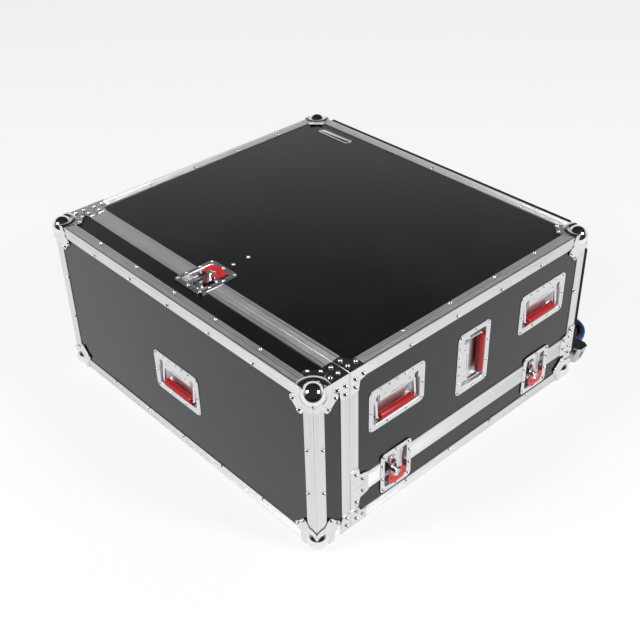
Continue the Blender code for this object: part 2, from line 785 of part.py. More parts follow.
def cover_edging(latches):
    """Edging of the front cover, with its tongue and the keeper half of the top latch."""
    item = skin_box((-HALF_W, 0.0, 0.0), (HALF_W, COVER_BACK, CASE_H))
    mouth = LIP_IN + LIP_T
    cut(item, block((-HALF_W + mouth, COVER_BACK - WALL, mouth),
                    (HALF_W - mouth, COVER_BACK + OUT, CASE_H - mouth)))
    half = HALF_W - EDGE_W
    back = COVER_BACK - RAIL_W
    windows = side_windows(EDGE_W, back, EDGE_W, CASE_H - EDGE_W)
    windows.append(block((-half, -OUT / 2, EDGE_W), (half, OUT / 2, CASE_H - EDGE_W)))
    windows += [block((-half, EDGE_W, z - OUT / 2), (half, back, z + OUT / 2)) for z in (0.0, CASE_H)]
    cut(item, joined(windows))
    thin = LIP_T * 0.9
    foot = COVER_BACK - EDGE_T / 2
    tip = COVER_BACK + LIP_RISE
    lip = block((-HALF_W + LIP_IN, foot, LIP_IN), (HALF_W - LIP_IN, tip, CASE_H - LIP_IN))
    hollow = block((-HALF_W + LIP_IN + thin, foot - OUT, LIP_IN + thin),
                   (HALF_W - LIP_IN - thin, tip + OUT, CASE_H - LIP_IN - thin))
    fuse(item, cut(lip, hollow))
    cut(item, latch_recess(latches["top"]))
    for top in (0, 1):
        fuse(item, gussets(0, top, True))
    cut(item, ball_spaces([(s, 0, z) for s in SIDES.values() for z in (0, 1)]))
    fuse(item, latch_keeper_half(latches["top"]))
    for plates in cover_braces():
        fuse(item, plates)
    return item


def base_shell(latches):
    """Floor, sides and back of the base, open in front and above."""
    half = HALF_W - SKIN
    item = block((-half, LID_FRONT + SKIN, SKIN), (half, CASE_D - SKIN, BASE_TOP - SKIN))
    cut(item, block((-half + PLY, 0.0, WALL), (half - PLY, CASE_D - WALL, CASE_H)))
    recesses = [latch_recess(latches[side + "_" + end]) for side in SIDES for end in ("front", "rear")]
    return cut(item, joined(recesses))


def cover_shell(latches, handles):
    """The front cover, open behind."""
    item = block((-HALF_W + SKIN, SKIN, SKIN), (HALF_W - SKIN, COVER_BACK - SKIN, CASE_H - SKIN))
    cut(item, block((-HALF_W + WALL, WALL, WALL), (HALF_W - WALL, COVER_D + OUT, CASE_H - WALL)))
    return cut(item, joined([latch_recess(latches["top"]), handle_recess(handles["front"])]))


def lid_top_back(latches):
    """The lid's top and back panels, which meet in a rebate."""
    half = HALF_W - SKIN
    item = block((-half, LID_FRONT + SKIN, LID_FOOT + SKIN), (half, CASE_D - SKIN, CASE_H - SKIN))
    cut(item, block((-HALF_W, 0.0, 0.0), (HALF_W, CASE_D - WALL, CASE_H - WALL)))
    return cut(item, latch_recess(latches["top"]))


def lid_side_panel(side, latches, handles):
    """A side panel of the lid with its three handle holes."""
    xs = sorted((SIDES[side] * (HALF_W - WALL), SIDES[side] * (HALF_W - SKIN)))
    item = block((xs[0], LID_FRONT + SKIN, LID_FOOT + SKIN),
                 (xs[1], CASE_D - WALL - CLEAR, CASE_H - WALL - CLEAR))
    recesses = [handle_recess(handles[side + "_" + place]) for place in ("front", "middle", "rear")]
    recesses += [latch_recess(latches[side + "_" + end]) for end in ("front", "rear")]
    return cut(item, joined(recesses))


def lobe_plate(axis):
    """One of the corner's three riveted plates, in distances in from the three faces."""
    first = -CLEAR * 4
    second = -CLEAR * 3
    tail = [(b, a) for a, b in reversed(LOBE_HALF[:-1])]
    outline = ([(first, LOBE_RING[0]), (first, LOBE_RING[1])] + list(LOBE_HALF) + tail
               + [(LOBE_RING[1], second), (LOBE_RING[0], second), (LOBE_NOTCH, LOBE_NOTCH)])
    columns = [Vector(), Vector(), Vector()]
    columns[0][(axis + 1) % 3] = 1.0
    columns[1][(axis + 2) % 3] = 1.0
    columns[2][axis] = -1.0
    return plate([outline], CLEAR, CLEAR + PLATE_T, Matrix(columns).transposed().to_4x4())


def ball_corner(low):
    """A ball corner in distances in from the three faces, the third being top or bottom."""
    centre = Vector((BALL_INSET, BALL_INSET, BALL_INSET))
    item = ball(centre, BALL_R, 12, 8)
    cut(item, block((EDGE_T, EDGE_T, EDGE_T), (BALL_R * 2, BALL_R * 2, BALL_R * 2)))
    for axis in range(3):
        fuse(item, lobe_plate(axis))
    if low:
        cut(item, block((-BALL_R, -BALL_R, -BALL_R * 2), (BALL_R * 3, BALL_R * 3, -FOOT)))
    return item


def make_corners(material):
    """The eight ball corners."""
    groups = (("corner_cover", 0, 0), ("corner_cover", 0, 1), ("corner_base", 1, 0), ("corner_lid", 1, 1))
    for label, back, top in groups:
        for side, sign in SIDES.items():
            item = ball_corner(top == 0)
            origin = Matrix.Translation((sign * HALF_W, back * CASE_D, top * CASE_H))
            move(item, origin @ Matrix.Diagonal((-sign, 1.0 - 2 * back, 1.0 - 2 * top, 1.0)))
            level = ("_upper" if top else "_lower") if label == "corner_cover" else ""
            finish(item, label + level + "_" + side, material)


def make_handles(handles, dish_material, grip_material):
    """Seven dishes and seven bails, each pair in one frame."""
    up, depth = axle_place()
    axle = Matrix.Translation((0.0, up, depth))
    names = list(handles)
    first = handles[names[0]]
    tray = finish(handle_dish(), "handle_dish_" + names[0], dish_material, first)
    bail = finish(handle_bail(), "handle_" + names[0], grip_material, first @ axle)
    for name in names[1:]:
        copy_part(tray, "handle_dish_" + name, handles[name])
        copy_part(bail, "handle_" + name, handles[name] @ axle)


def make_latches(latches, dish_material, wing_material, rotor_material):
    """Rotor halves, rotors, wings and hooks of the five latches."""
    rotor_axis = Matrix.Translation((0.0, -ROTOR_FROM_SEAM, 0.0))
    fold_axis = Matrix.Translation((0.0, -ROTOR_FROM_SEAM, (WING_LOW + WING_HIGH) / 2))
    still = Matrix.Identity(4)
    pieces = (("dish", latch_rotor_half, dish_material, still),
              ("rotor", latch_rotor, rotor_material, rotor_axis),
              ("wing", latch_wing, wing_material, fold_axis),
              ("hook", latch_hook, rotor_material, still))
    names = list(latches)
    for label, build, material, place in pieces:
        first = finish(build(), "latch_" + label + "_" + names[0], material, latches[names[0]] @ place)
        for name in names[1:]:
            copy_part(first, "latch_" + label + "_" + name, latches[name] @ place)


def caster_board():
    """The board that carries the casters, cut off at its corners to clear the balls."""
    half = HALF_W - BOARD_SIDE_INSET
    low = BOARD_FOOT_INSET
    high = CASE_H - BOARD_TOP_INSET
    near = CLEAR * 2 + PLATE_T
    ball_there = math.sqrt(BALL_R ** 2 - (BALL_INSET + near) ** 2)
    reach = 2 * BALL_INSET + math.sqrt(2.0) * (ball_there + BOARD_BALL_GAP) - BOARD_SIDE_INSET
    top = reach - BOARD_TOP_INSET
    foot = reach - BOARD_FOOT_INSET
    points = [(half, low + foot), (half, high - top), (half - top, high), (-half + top, high),
              (-half, high - top), (-half, low + foot), (-half + foot, low), (half - foot, low)]
    frame = Matrix.Translation((0.0, CASE_D, 0.0)) @ Matrix.Rotation(math.pi / 2, 4, "X")
    return plate([points], -BOARD_T, -near, frame)


def caster_frame(sign):
    """A caster's frame on the board: X along its trail, Z away from the board on the swivel axis."""
    trail = Vector((sign * math.cos(CASTER_DROOP), 0.0, -math.sin(CASTER_DROOP)))
    out = Vector((0.0, 1.0, 0.0))
    turn = Matrix((trail, out.cross(trail), out)).transposed().to_4x4()
    place = Vector((sign * (HALF_W - CASTER_X_INSET), CASE_D + BOARD_T, CASTER_Z))
    return Matrix.Translation(CASE_ORIGIN + place) @ turn


def caster_plate():
    """The fixed top plate with its bearing race, square to the case."""
    item = rounded_block((-CASTER_PLATE_W / 2, -CASTER_PLATE_H / 2, CLEAR),
                         (CASTER_PLATE_W / 2, CASTER_PLATE_H / 2, CLEAR + CASTER_PLATE_T),
                         CASTER_PLATE_CORNER, 3)
    start = CLEAR + CASTER_PLATE_T / 2
    top = CLEAR + CASTER_PLATE_T + RACE_T
    return fuse(item, drum((0, 0, (start + top) / 2), (0, 0, 1), RACE_R, top - start, 18))


def crown_height():
    """Where the fork's crown starts above the board."""
    return CLEAR * 2 + CASTER_PLATE_T + RACE_T


def leg_inside():
    """Half the room between the fork's legs."""
    return WHEEL_W / 2 + FORK_SIDE_GAP


def caster_fork():
    """The swivelling fork with its fixed wheel axle."""
    low = crown_height()
    high = low + CROWN_T
    item = drum((0, 0, (low + high) / 2), (0, 0, 1), RACE_R - CROWN_INSET, CROWN_T, 18)
    inside = leg_inside()
    outside = inside + FORK_LEG_T
    boss = WHEEL_AXLE_R * 2
    start = low + CROWN_T / 3
    arc = [(TRAIL + boss * math.cos(math.radians(a)), AXLE_HEIGHT + boss * math.sin(math.radians(a)))
           for a in range(-20, 201, 44)]
    leg = [(-RACE_R * 0.6, start), (RACE_R * 0.9, start)] + arc
    upright = Matrix.Rotation(math.pi / 2, 4, "X")
    legs = [plate([leg], inside, outside, upright), plate([leg], -outside, -inside, upright)]
    bridge = block((-RACE_R * 0.6, -outside, low), (RACE_R * 0.7, outside, high - CLEAR))
    fuse(item, bridge)
    fuse(item, joined(legs))
    return fuse(item, drum((TRAIL, 0, AXLE_HEIGHT), (0, 1, 0), WHEEL_AXLE_R,
                           (outside + AXLE_PROUD) * 2, 12))


def caster_wheel():
    """The wheel about its own axle: a turned profile, round its own Z."""
    half = WHEEL_W / 2
    bore = WHEEL_AXLE_R + CLEAR
    hub = bore + HUB_WALL
    rim = WHEEL_R * 0.70
    lower = [(bore, -half), (hub, -half), (hub + HUB_SLOPE, -half * 0.75), (rim, -half * 0.75),
             (WHEEL_R * 0.93, -half * 0.95), (WHEEL_R, -half * 0.55)]
    profile = lower + [(x, -z) for x, z in reversed(lower)]
    bm = bmesh.new()
    verts = [bm.verts.new((x, 0.0, z)) for x, z in profile]
    edges = [bm.edges.new((a, b)) for a, b in zip(verts, verts[1:] + verts[:1])]
    bmesh.ops.spin(bm, geom=verts + edges, cent=(0, 0, 0), axis=(0, 0, 1), dvec=(0, 0, 0),
                   angle=2 * math.pi, steps=16, use_merge=True, use_duplicate=False)
    bmesh.ops.remove_doubles(bm, verts=bm.verts, dist=0.00001)
    return tool_object("wheel", bm)


def caster_pedal():
    """The brake pedal about its pivot: a channel astride the fork, with a slotted tread outboard."""
    inside = leg_inside() + FORK_LEG_T + PEDAL_SIDE_GAP
    outside = inside + PEDAL_CHEEK_T
    low = crown_height() + CROWN_T + CLEAR
    near = -PEDAL_HEEL
    reach = PEDAL_END - PEDAL_PIVOT
    inner = reach - PEDAL_T
    back, rise = PEDAL_LIP
    outline = [(near, 0.0), (reach - PEDAL_BEND, 0.0), (reach, PEDAL_BEND), (reach, PEDAL_DROP),
               (reach - back, PEDAL_DROP + rise), (reach / 2, PEDAL_DROP * PEDAL_WAIST),
               (near, PEDAL_T * 2)]
    upright = Matrix.Rotation(math.pi / 2, 4, "X")
    item = plate([outline], -outside, outside, upright)
    above = PEDAL_DROP + rise + OUT
    pocket = [(near - OUT, PEDAL_T), (inner - PEDAL_T, PEDAL_T), (inner, PEDAL_T * 2), (inner, above),
              (near - OUT, above)]
    cut(item, plate([pocket], -inside, inside, upright))
    slot_low, slot_high = PEDAL_SLOT
    slot = block((reach - PEDAL_T - OUT, -PEDAL_SLOT_W / 2, PEDAL_DROP * slot_low),
                 (reach + OUT, PEDAL_SLOT_W / 2, PEDAL_DROP * slot_high))
    return cut(item, slot), low


def make_casters(plate_material, fork_material, wheel_material, pedal_material):
    """Both casters behind the base."""
    for side, sign in SIDES.items():
        frame = caster_frame(sign)
        square = Matrix.Translation(frame.to_translation()) @ Matrix.Rotation(-math.pi / 2, 4, "X")
        finish(caster_plate(), "caster_plate_" + side, plate_material, square)
        finish(caster_fork(), "caster_fork_" + side, fork_material, frame)
        axle = Matrix.Translation((TRAIL, 0.0, AXLE_HEIGHT)) @ Matrix.Rotation(math.pi / 2, 4, "X")
        finish(caster_wheel(), "caster_wheel_" + side, wheel_material, frame @ axle)
        pedal, low = caster_pedal()
        pivot = Matrix.Translation((PEDAL_PIVOT, 0.0, low))
        finish(pedal, "caster_pedal_" + side, pedal_material, frame @ pivot)


def base_foam():
    """The foam bed that the desk stands on."""
    half = HALF_W - FOAM_SIDE_GAP
    low = WALL + CLEAR
    return rounded_block((-half, LID_FRONT + FOAM_END_GAP, low),
                         (half, CASE_D - FOAM_END_GAP, low + FOAM_T), FOAM_CORNER, 3)


def build():
    """Make every part of the case."""
    laminate = new_material("black_laminate", (0.035, 0.035, 0.037), 0.35, 0.0)
    aluminium = new_material("satin_aluminium", (0.78, 0.78, 0.79), 0.38, 1.0)
    steel = new_material("bright_steel", (0.72, 0.73, 0.75), 0.22, 1.0)
    chrome = new_material("ball_chrome", (0.80, 0.80, 0.82), 0.08, 1.0)
    red_grip = new_material("red_grip", (0.60, 0.02, 0.03), 0.45, 0.0)
    red_wing = new_material("red_wing", (0.65, 0.03, 0.03), 0.35, 0.0)
    zinc = new_material("zinc_plate", (0.62, 0.63, 0.65), 0.32, 1.0)
    tyre = new_material("blue_tyre", (0.0, 0.06, 0.20), 0.55, 0.0)
    fork = new_material("dark_fork", (0.06, 0.055, 0.07), 0.45, 0.4)
    foam = new_material("grey_foam", (0.05, 0.05, 0.055), 0.95, 0.0)
    handles = handle_frames()
    latches = latch_frames()
    finish(base_shell(latches), "base_shell", laminate)
    finish(base_foam(), "base_foam", foam)
    finish(cover_shell(latches, handles), "cover_shell", laminate)
    finish(lid_top_back(latches), "lid_top_back", laminate)
    for side in SIDES:
        finish(lid_side_panel(side, latches, handles), "lid_" + side + "_panel", laminate)
    finish(base_edging(latches), "base_edging", aluminium)
    finish(lid_edging(latches), "lid_edging", aluminium)
    finish(cover_edging(latches), "cover_edging", aluminium)
    make_corners(chrome)
    make_handles(handles, steel, red_grip)
    make_latches(latches, steel, red_wing, zinc)
    finish(caster_board(), "caster_board", laminate)
    make_casters(zinc, fork, tyre, zinc)


remove_everything()
PARTS = new_collection(OBJECT_NAME)
CUTTERS = new_collection("cutters")
build()
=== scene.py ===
"""Looks of a mixer flight case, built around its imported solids.

The boards stay as packed and get a laminate. Edging, corner plates, ball corners, handles,
latches and casters are modelled in detail over the solids that they stand for.
"""
import logging
import math
from dataclasses import dataclass, field
from enum import Enum
from typing import Callable, Iterable, Sequence

import bmesh
import bpy
from mathutils import Matrix, Vector


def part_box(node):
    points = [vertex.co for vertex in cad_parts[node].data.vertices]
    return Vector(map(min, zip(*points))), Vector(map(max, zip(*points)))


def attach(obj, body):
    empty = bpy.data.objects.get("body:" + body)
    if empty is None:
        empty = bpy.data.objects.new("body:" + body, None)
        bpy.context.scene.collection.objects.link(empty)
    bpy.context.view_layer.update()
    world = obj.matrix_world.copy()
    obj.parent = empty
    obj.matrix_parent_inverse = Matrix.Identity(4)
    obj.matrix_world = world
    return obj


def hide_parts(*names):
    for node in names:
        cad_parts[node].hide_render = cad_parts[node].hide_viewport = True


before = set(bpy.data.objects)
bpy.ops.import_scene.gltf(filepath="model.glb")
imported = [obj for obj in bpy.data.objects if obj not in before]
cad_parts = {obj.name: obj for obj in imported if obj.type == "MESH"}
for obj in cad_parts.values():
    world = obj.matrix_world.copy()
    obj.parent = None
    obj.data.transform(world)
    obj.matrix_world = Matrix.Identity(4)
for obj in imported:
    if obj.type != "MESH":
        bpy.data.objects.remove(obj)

LOG = logging.getLogger("flight_case")
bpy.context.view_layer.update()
MM = 0.001
Point = tuple[float, float]
Triple = tuple[float, float, float]
Piece = bpy.types.Object
QUARTER = math.pi / 2
AFT: Triple = (0.0, 1.0, 0.0)
FORWARD: Triple = (0.0, -1.0, 0.0)
UP: Triple = (0.0, 0.0, 1.0)
DOWN: Triple = (0.0, 0.0, -1.0)
NOWHERE: Triple = (0.0, 0.0, 0.0)


def basis(x: Sequence[float], y: Sequence[float], z: Sequence[float], at: Sequence[float] = NOWHERE) -> Matrix:
    """The frame at a place whose axes point in three directions."""
    return Matrix.Translation(at) @ Matrix((x, y, z)).transposed().to_4x4()


def in_mm(points: Iterable[Sequence[float]]) -> list[Point]:
    """Points given in millimetres, in metres."""
    return [(x * MM, y * MM) for x, y in points]


def there_and_back(half: Sequence[Point]) -> list[Point]:
    """A profile and its mirror image in Y, walked back."""
    return [*half, *((x, -y) for x, y in reversed(half))]


def grey(value: float) -> tuple[float, float, float, float]:
    """A solid grey."""
    return (value, value, value, 1.0)


def link(name: str, data: bpy.types.ID) -> Piece:
    """Put an object in the scene.

    Args:
        name: Its name.
        data: Its mesh, camera or light.

    Returns:
        The object.
    """
    obj = bpy.data.objects.new(name, data)
    bpy.context.scene.collection.objects.link(obj)
    return obj


class Pick(Enum):
    """What a selection in edit mode is made of."""

    POINTS = "VERT"
    EDGES = "EDGE"
    FACES = "FACE"


class Side(Enum):
    """The two sides of the case, each with the sign of its X."""

    RIGHT = 1.0
    LEFT = -1.0

    @property
    def label(self) -> str:
        """The side's name in piece names."""
        return self.name.lower()


class Run(Enum):
    """The direction that a length of extrusion runs in."""

    X = (1.0, 0.0, 0.0)
    Y = (0.0, 1.0, 0.0)
    Z = (0.0, 0.0, 1.0)


class Section(Enum):
    """The three extrusions of the case."""

    ANGLE = "corner angle"
    TONGUE = "seam rail with a tongue"
    GROOVE = "seam rail that takes a tongue"


class End(Enum):
    """How the end of a length of extrusion is sawn off."""

    SQUARE = "square"
    OVER_EDGE = "mitred where two faces of the case meet"
    IN_FACE = "mitred where two rails meet on one face"


SQUARE_ENDS = (End.SQUARE, End.SQUARE)
OVER_EDGES = (End.OVER_EDGE, End.OVER_EDGE)
SEAM_TO_EDGE = (End.IN_FACE, End.OVER_EDGE)


class Bench:
    """A mesh under work: it starts as a primitive and is shaped by operators in edit mode."""

    def __init__(self, name: str, add: Callable[..., object], **settings: object) -> None:
        """Add a primitive and open it for editing.

        Args:
            name: Name of the object and its mesh.
            add: The operator that adds the primitive.
            settings: The operator's settings.
        """
        self.rest()
        add(**settings)
        self.obj = bpy.context.active_object
        self.obj.name = name
        self.obj.data.name = name
        bpy.ops.object.transform_apply(location=True, rotation=True, scale=True)
        self.edit()

    @staticmethod
    def rest() -> None:
        """Leave edit mode and select nothing."""
        if bpy.context.mode != "OBJECT":
            bpy.ops.object.mode_set(mode="OBJECT")
        bpy.ops.object.select_all(action="DESELECT")

    def hold(self) -> None:
        """Make the piece the one that operators work on."""
        self.obj.select_set(True)
        bpy.context.view_layer.objects.active = self.obj

    def edit(self) -> "Bench":
        """Open the piece for editing, all selected."""
        self.hold()
        bpy.ops.object.mode_set(mode="EDIT")
        bpy.ops.mesh.select_mode(type=Pick.POINTS.value)
        return self.everything()

    def everything(self) -> "Bench":
        """Select all of the piece."""
        bpy.ops.mesh.select_all(action="SELECT")
        return self

    @classmethod
    def block(cls, name: str, low: Sequence[float], high: Sequence[float]) -> "Bench":
        """A box between its lowest and its highest corner."""
        start, stop = Vector(low), Vector(high)
        return cls(name, bpy.ops.mesh.primitive_cube_add, size=1.0, location=(start + stop) / 2,
                   scale=stop - start)

    @classmethod
    def drum(cls, name: str, low: float, high: float, radius: float, sides: int = 32,
             centre: Point = (0.0, 0.0)) -> "Bench":
        """A cylinder along Z between two heights, with a number of sides, over a centre."""
        return cls(name, bpy.ops.mesh.primitive_cylinder_add, vertices=sides, radius=radius,
                   depth=high - low, location=(*centre, (low + high) / 2))

    @classmethod
    def sheet(cls, name: str, size: Point, height: float, corner: float, steps: int = 5,
              centre: Point = (0.0, 0.0)) -> "Bench":
        """A flat rectangle of a size at a height, its corners rounded in steps, its face selected."""
        bench = cls(name, bpy.ops.mesh.primitive_plane_add, size=1.0, location=(*centre, height))
        return bench.scale((*size, 1.0), (*centre, height)).round_corners(corner, steps)

    @classmethod
    def trace(cls, name: str, points: Sequence[Point], height: float = 0.0) -> "Bench":
        """Trace a flat outline point by point and fill it.

        Args:
            name: Name of the piece.
            points: The outline's points in X and Y.
            height: Its height.

        Returns:
            The bench with the outline on it, all selected.
        """
        bench = cls(name, bpy.ops.mesh.primitive_plane_add, size=1.0, location=(*points[0], height))
        bpy.ops.mesh.merge(type="CENTER")
        for here, there in zip(points, points[1:]):
            bench.extrude((there[0] - here[0], there[1] - here[1], 0.0))
        bench.everything()
        bpy.ops.mesh.edge_face_add()
        return bench

    @classmethod
    def lathe(cls, name: str, profile: Sequence[Point], steps: int) -> "Bench":
        """Turn a profile of radii and heights about Z in steps."""
        bench = cls.trace(name, profile).turn(QUARTER, "X")
        return bench.spin(2 * math.pi, steps, UP).closed()

    @classmethod
    def softened(cls, name: str, node: str, width: float) -> Piece:
        """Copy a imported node's mesh, merge it and bevel its edges.

        Args:
            name: Name of the piece.
            node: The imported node.
            width: Width of the bevels.

        Returns:
            The finished copy.
        """
        cls.rest()
        obj = link(name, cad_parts[node].data.copy())
        obj.data.materials.clear()
        bench = cls.reopen(obj)
        bpy.ops.mesh.remove_doubles(threshold=0.02 * MM)
        bpy.ops.mesh.dissolve_limited(angle_limit=math.radians(0.5))
        return bench.soften(width, 30.0).take()

    @classmethod
    def reopen(cls, obj: Piece) -> "Bench":
        """Open an object for editing.

        Args:
            obj: The object.

        Returns:
            The bench with the object on it, all selected.
        """
        cls.rest()
        bench = cls.__new__(cls)
        bench.obj = obj
        return bench.edit()

    def pick(self, kind: Pick, test: Callable[..., bool]) -> "Bench":
        """Select what a test picks out, and nothing else.

        Args:
            kind: Points, edges or faces.
            test: Takes one of them and says whether it is selected.

        Returns:
            The bench.
        """
        bpy.ops.mesh.select_mode(type=kind.value)
        bpy.ops.mesh.select_all(action="DESELECT")
        mesh = bmesh.from_edit_mesh(self.obj.data)
        items = {Pick.POINTS: mesh.verts, Pick.EDGES: mesh.edges, Pick.FACES: mesh.faces}[kind]
        for item in items:
            if test(item):
                item.select_set(True)
        bmesh.update_edit_mesh(self.obj.data)
        return self

    def tops(self) -> "Bench":
        """Select the faces that look up."""
        return self.pick(Pick.FACES, lambda face: face.normal.z > 0.9)

    def extrude(self, step: Triple) -> "Bench":
        """Extrude the selection and move it."""
        bpy.ops.mesh.extrude_region_move(TRANSFORM_OT_translate={"value": step})
        return self

    def rise(self, height: float) -> "Bench":
        """Extrude the selection along Z."""
        return self.extrude((0.0, 0.0, height))

    def inset(self, thickness: float, depth: float = 0.0) -> "Bench":
        """Inset the selected faces."""
        bpy.ops.mesh.inset(thickness=thickness, depth=depth)
        return self

    def scale(self, factors: Triple, centre: Triple = NOWHERE) -> "Bench":
        """Scale the selection about a point."""
        bpy.ops.transform.resize(value=factors, center_override=centre)
        return self

    def shift(self, step: Triple) -> "Bench":
        """Move the selection."""
        bpy.ops.transform.translate(value=step)
        return self

    def turn(self, angle: float, axis: str, centre: Triple = NOWHERE) -> "Bench":
        """Turn the selection about an axis by the right-hand rule."""
        bpy.ops.transform.rotate(value=-angle, orient_axis=axis, center_override=centre)
        return self

    def spin(self, angle: float, steps: int, axis: Triple, centre: Triple = NOWHERE) -> "Bench":
        """Sweep the selection round an axis by the right-hand rule."""
        bpy.ops.mesh.spin(steps=steps, angle=-angle, center=centre, axis=axis)
        return self

    def saw(self, point: Sequence[float], away: Sequence[float]) -> "Bench":
        """Cut off everything on the far side of a plane and close the cut.

        Args:
            point: A point on the plane.
            away: The plane's normal, towards what is cut off.

        Returns:
            The bench.
        """
        self.everything()
        bpy.ops.mesh.bisect(plane_co=point, plane_no=away, clear_outer=True, use_fill=True)
        return self

    def bevel(self, width: float, steps: int, affect: str = "EDGES") -> "Bench":
        """Bevel the selected edges or corners in steps."""
        bpy.ops.mesh.bevel(offset=width, segments=steps, affect=affect)
        return self

    def round_corners(self, radius: float, steps: int = 3) -> "Bench":
        """Round the corners of a flat outline."""
        return self.bevel(radius, steps, "VERTICES").pick(Pick.FACES, lambda face: True)

    def closed(self) -> "Bench":
        """Merge doubled points and turn all faces outward."""
        self.everything()
        bpy.ops.mesh.remove_doubles(threshold=0.002 * MM)
        bpy.ops.mesh.normals_make_consistent(inside=False)
        return self

    def modifier(self, kind: str, **settings: object) -> "Bench":
        """Add a modifier and apply it.

        Args:
            kind: The modifier's type.
            settings: Its settings.

        Returns:
            The bench, in edit mode again with all selected.
        """
        self.rest()
        self.hold()
        made = self.obj.modifiers.new(kind.lower(), kind)
        for name, value in settings.items():
            setattr(made, name, value)
        bpy.ops.object.modifier_apply(modifier=made.name)
        return self.edit()

    def soften(self, width: float, angle: float = 35.0) -> "Bench":
        """Bevel every edge sharper than an angle in degrees."""
        return self.modifier("BEVEL", width=width, segments=2, limit_method="ANGLE",
                             angle_limit=math.radians(angle), harden_normals=False)

    def carve(self, tool: Piece) -> "Bench":
        """Cut a tool's shape out of the piece, and drop the tool.

        Args:
            tool: The tool.

        Returns:
            The bench.
        """
        self.modifier("BOOLEAN", operation="DIFFERENCE", solver="EXACT", object=tool)
        self.discard(tool)
        return self

    @staticmethod
    def discard(*objects: Piece) -> None:
        """Remove objects and their meshes."""
        for mesh in [obj.data for obj in objects]:
            bpy.data.meshes.remove(mesh)

    def take(self, smooth: float = 20.0) -> Piece:
        """Finish the piece.

        Args:
            smooth: Edges sharper than this many degrees stay sharp.

        Returns:
            The finished object.
        """
        self.rest()
        self.hold()
        bpy.ops.object.shade_smooth_by_angle(angle=math.radians(smooth))
        self.rest()
        return self.obj

    @staticmethod
    def move(obj: Piece, matrix: Matrix) -> Piece:
        """Move a piece within its mesh, its faces outward also when that mirrors it.

        Args:
            obj: The piece.
            matrix: Where it goes.

        Returns:
            The piece.
        """
        obj.data.transform(matrix)
        if matrix.determinant() < 0:
            obj.data.flip_normals()
        return obj

    @classmethod
    def copy(cls, obj: Piece, name: str, matrix: Matrix) -> Piece:
        """Copy a piece with its own mesh, and put the copy in place in its mesh.

        Args:
            obj: The piece that is copied.
            name: The copy's name.
            matrix: Where the copy goes.

        Returns:
            The copy, its object at the origin.
        """
        twin = link(name, obj.data.copy())
        twin.data.name = name
        return cls.move(twin, matrix)

    @classmethod
    def join(cls, name: str, items: Sequence[Piece]) -> Piece:
        """Join objects into one.

        Args:
            name: The result's name.
            items: The objects, which go into the first.

        Returns:
            The joined object.
        """
        cls.rest()
        for item in items:
            item.select_set(True)
        bpy.context.view_layer.objects.active = items[0]
        if len(items) > 1:
            bpy.ops.object.join()
        items[0].name = name
        items[0].data.name = name
        cls.rest()
        return items[0]


class Socket:
    """A shader value that sums and products can be written with."""

    def __init__(self, graph: "Graph", output: bpy.types.NodeSocket) -> None:
        """Wrap an output of a node in a graph."""
        self.graph = graph
        self.output = output

    def maths(self, operation: str, first: "Socket | float", second: "Socket | float") -> "Socket":
        """The result of a Math node on two values."""
        return self.graph.add("ShaderNodeMath", {"operation": operation}, {0: first, 1: second})

    def __add__(self, other: "Socket | float") -> "Socket":
        """The sum."""
        return self.maths("ADD", self, other)

    def __mul__(self, other: "Socket | float") -> "Socket":
        """The product."""
        return self.maths("MULTIPLY", self, other)

    def __neg__(self) -> "Socket":
        """The value with its sign turned."""
        return self.maths("SUBTRACT", 0.0, self)

    def __or__(self, other: "Socket | float") -> "Socket":
        """The larger of two."""
        return self.maths("MAXIMUM", self, other)

    def above(self, edge: float, width: float) -> "Socket":
        """Nought below an edge and one above it, with a soft step of a width."""
        steps = {"From Min": edge - width / 2, "From Max": edge + width / 2}
        return self.graph.add("ShaderNodeMapRange", {"clamp": True}, {"Value": self, **steps})


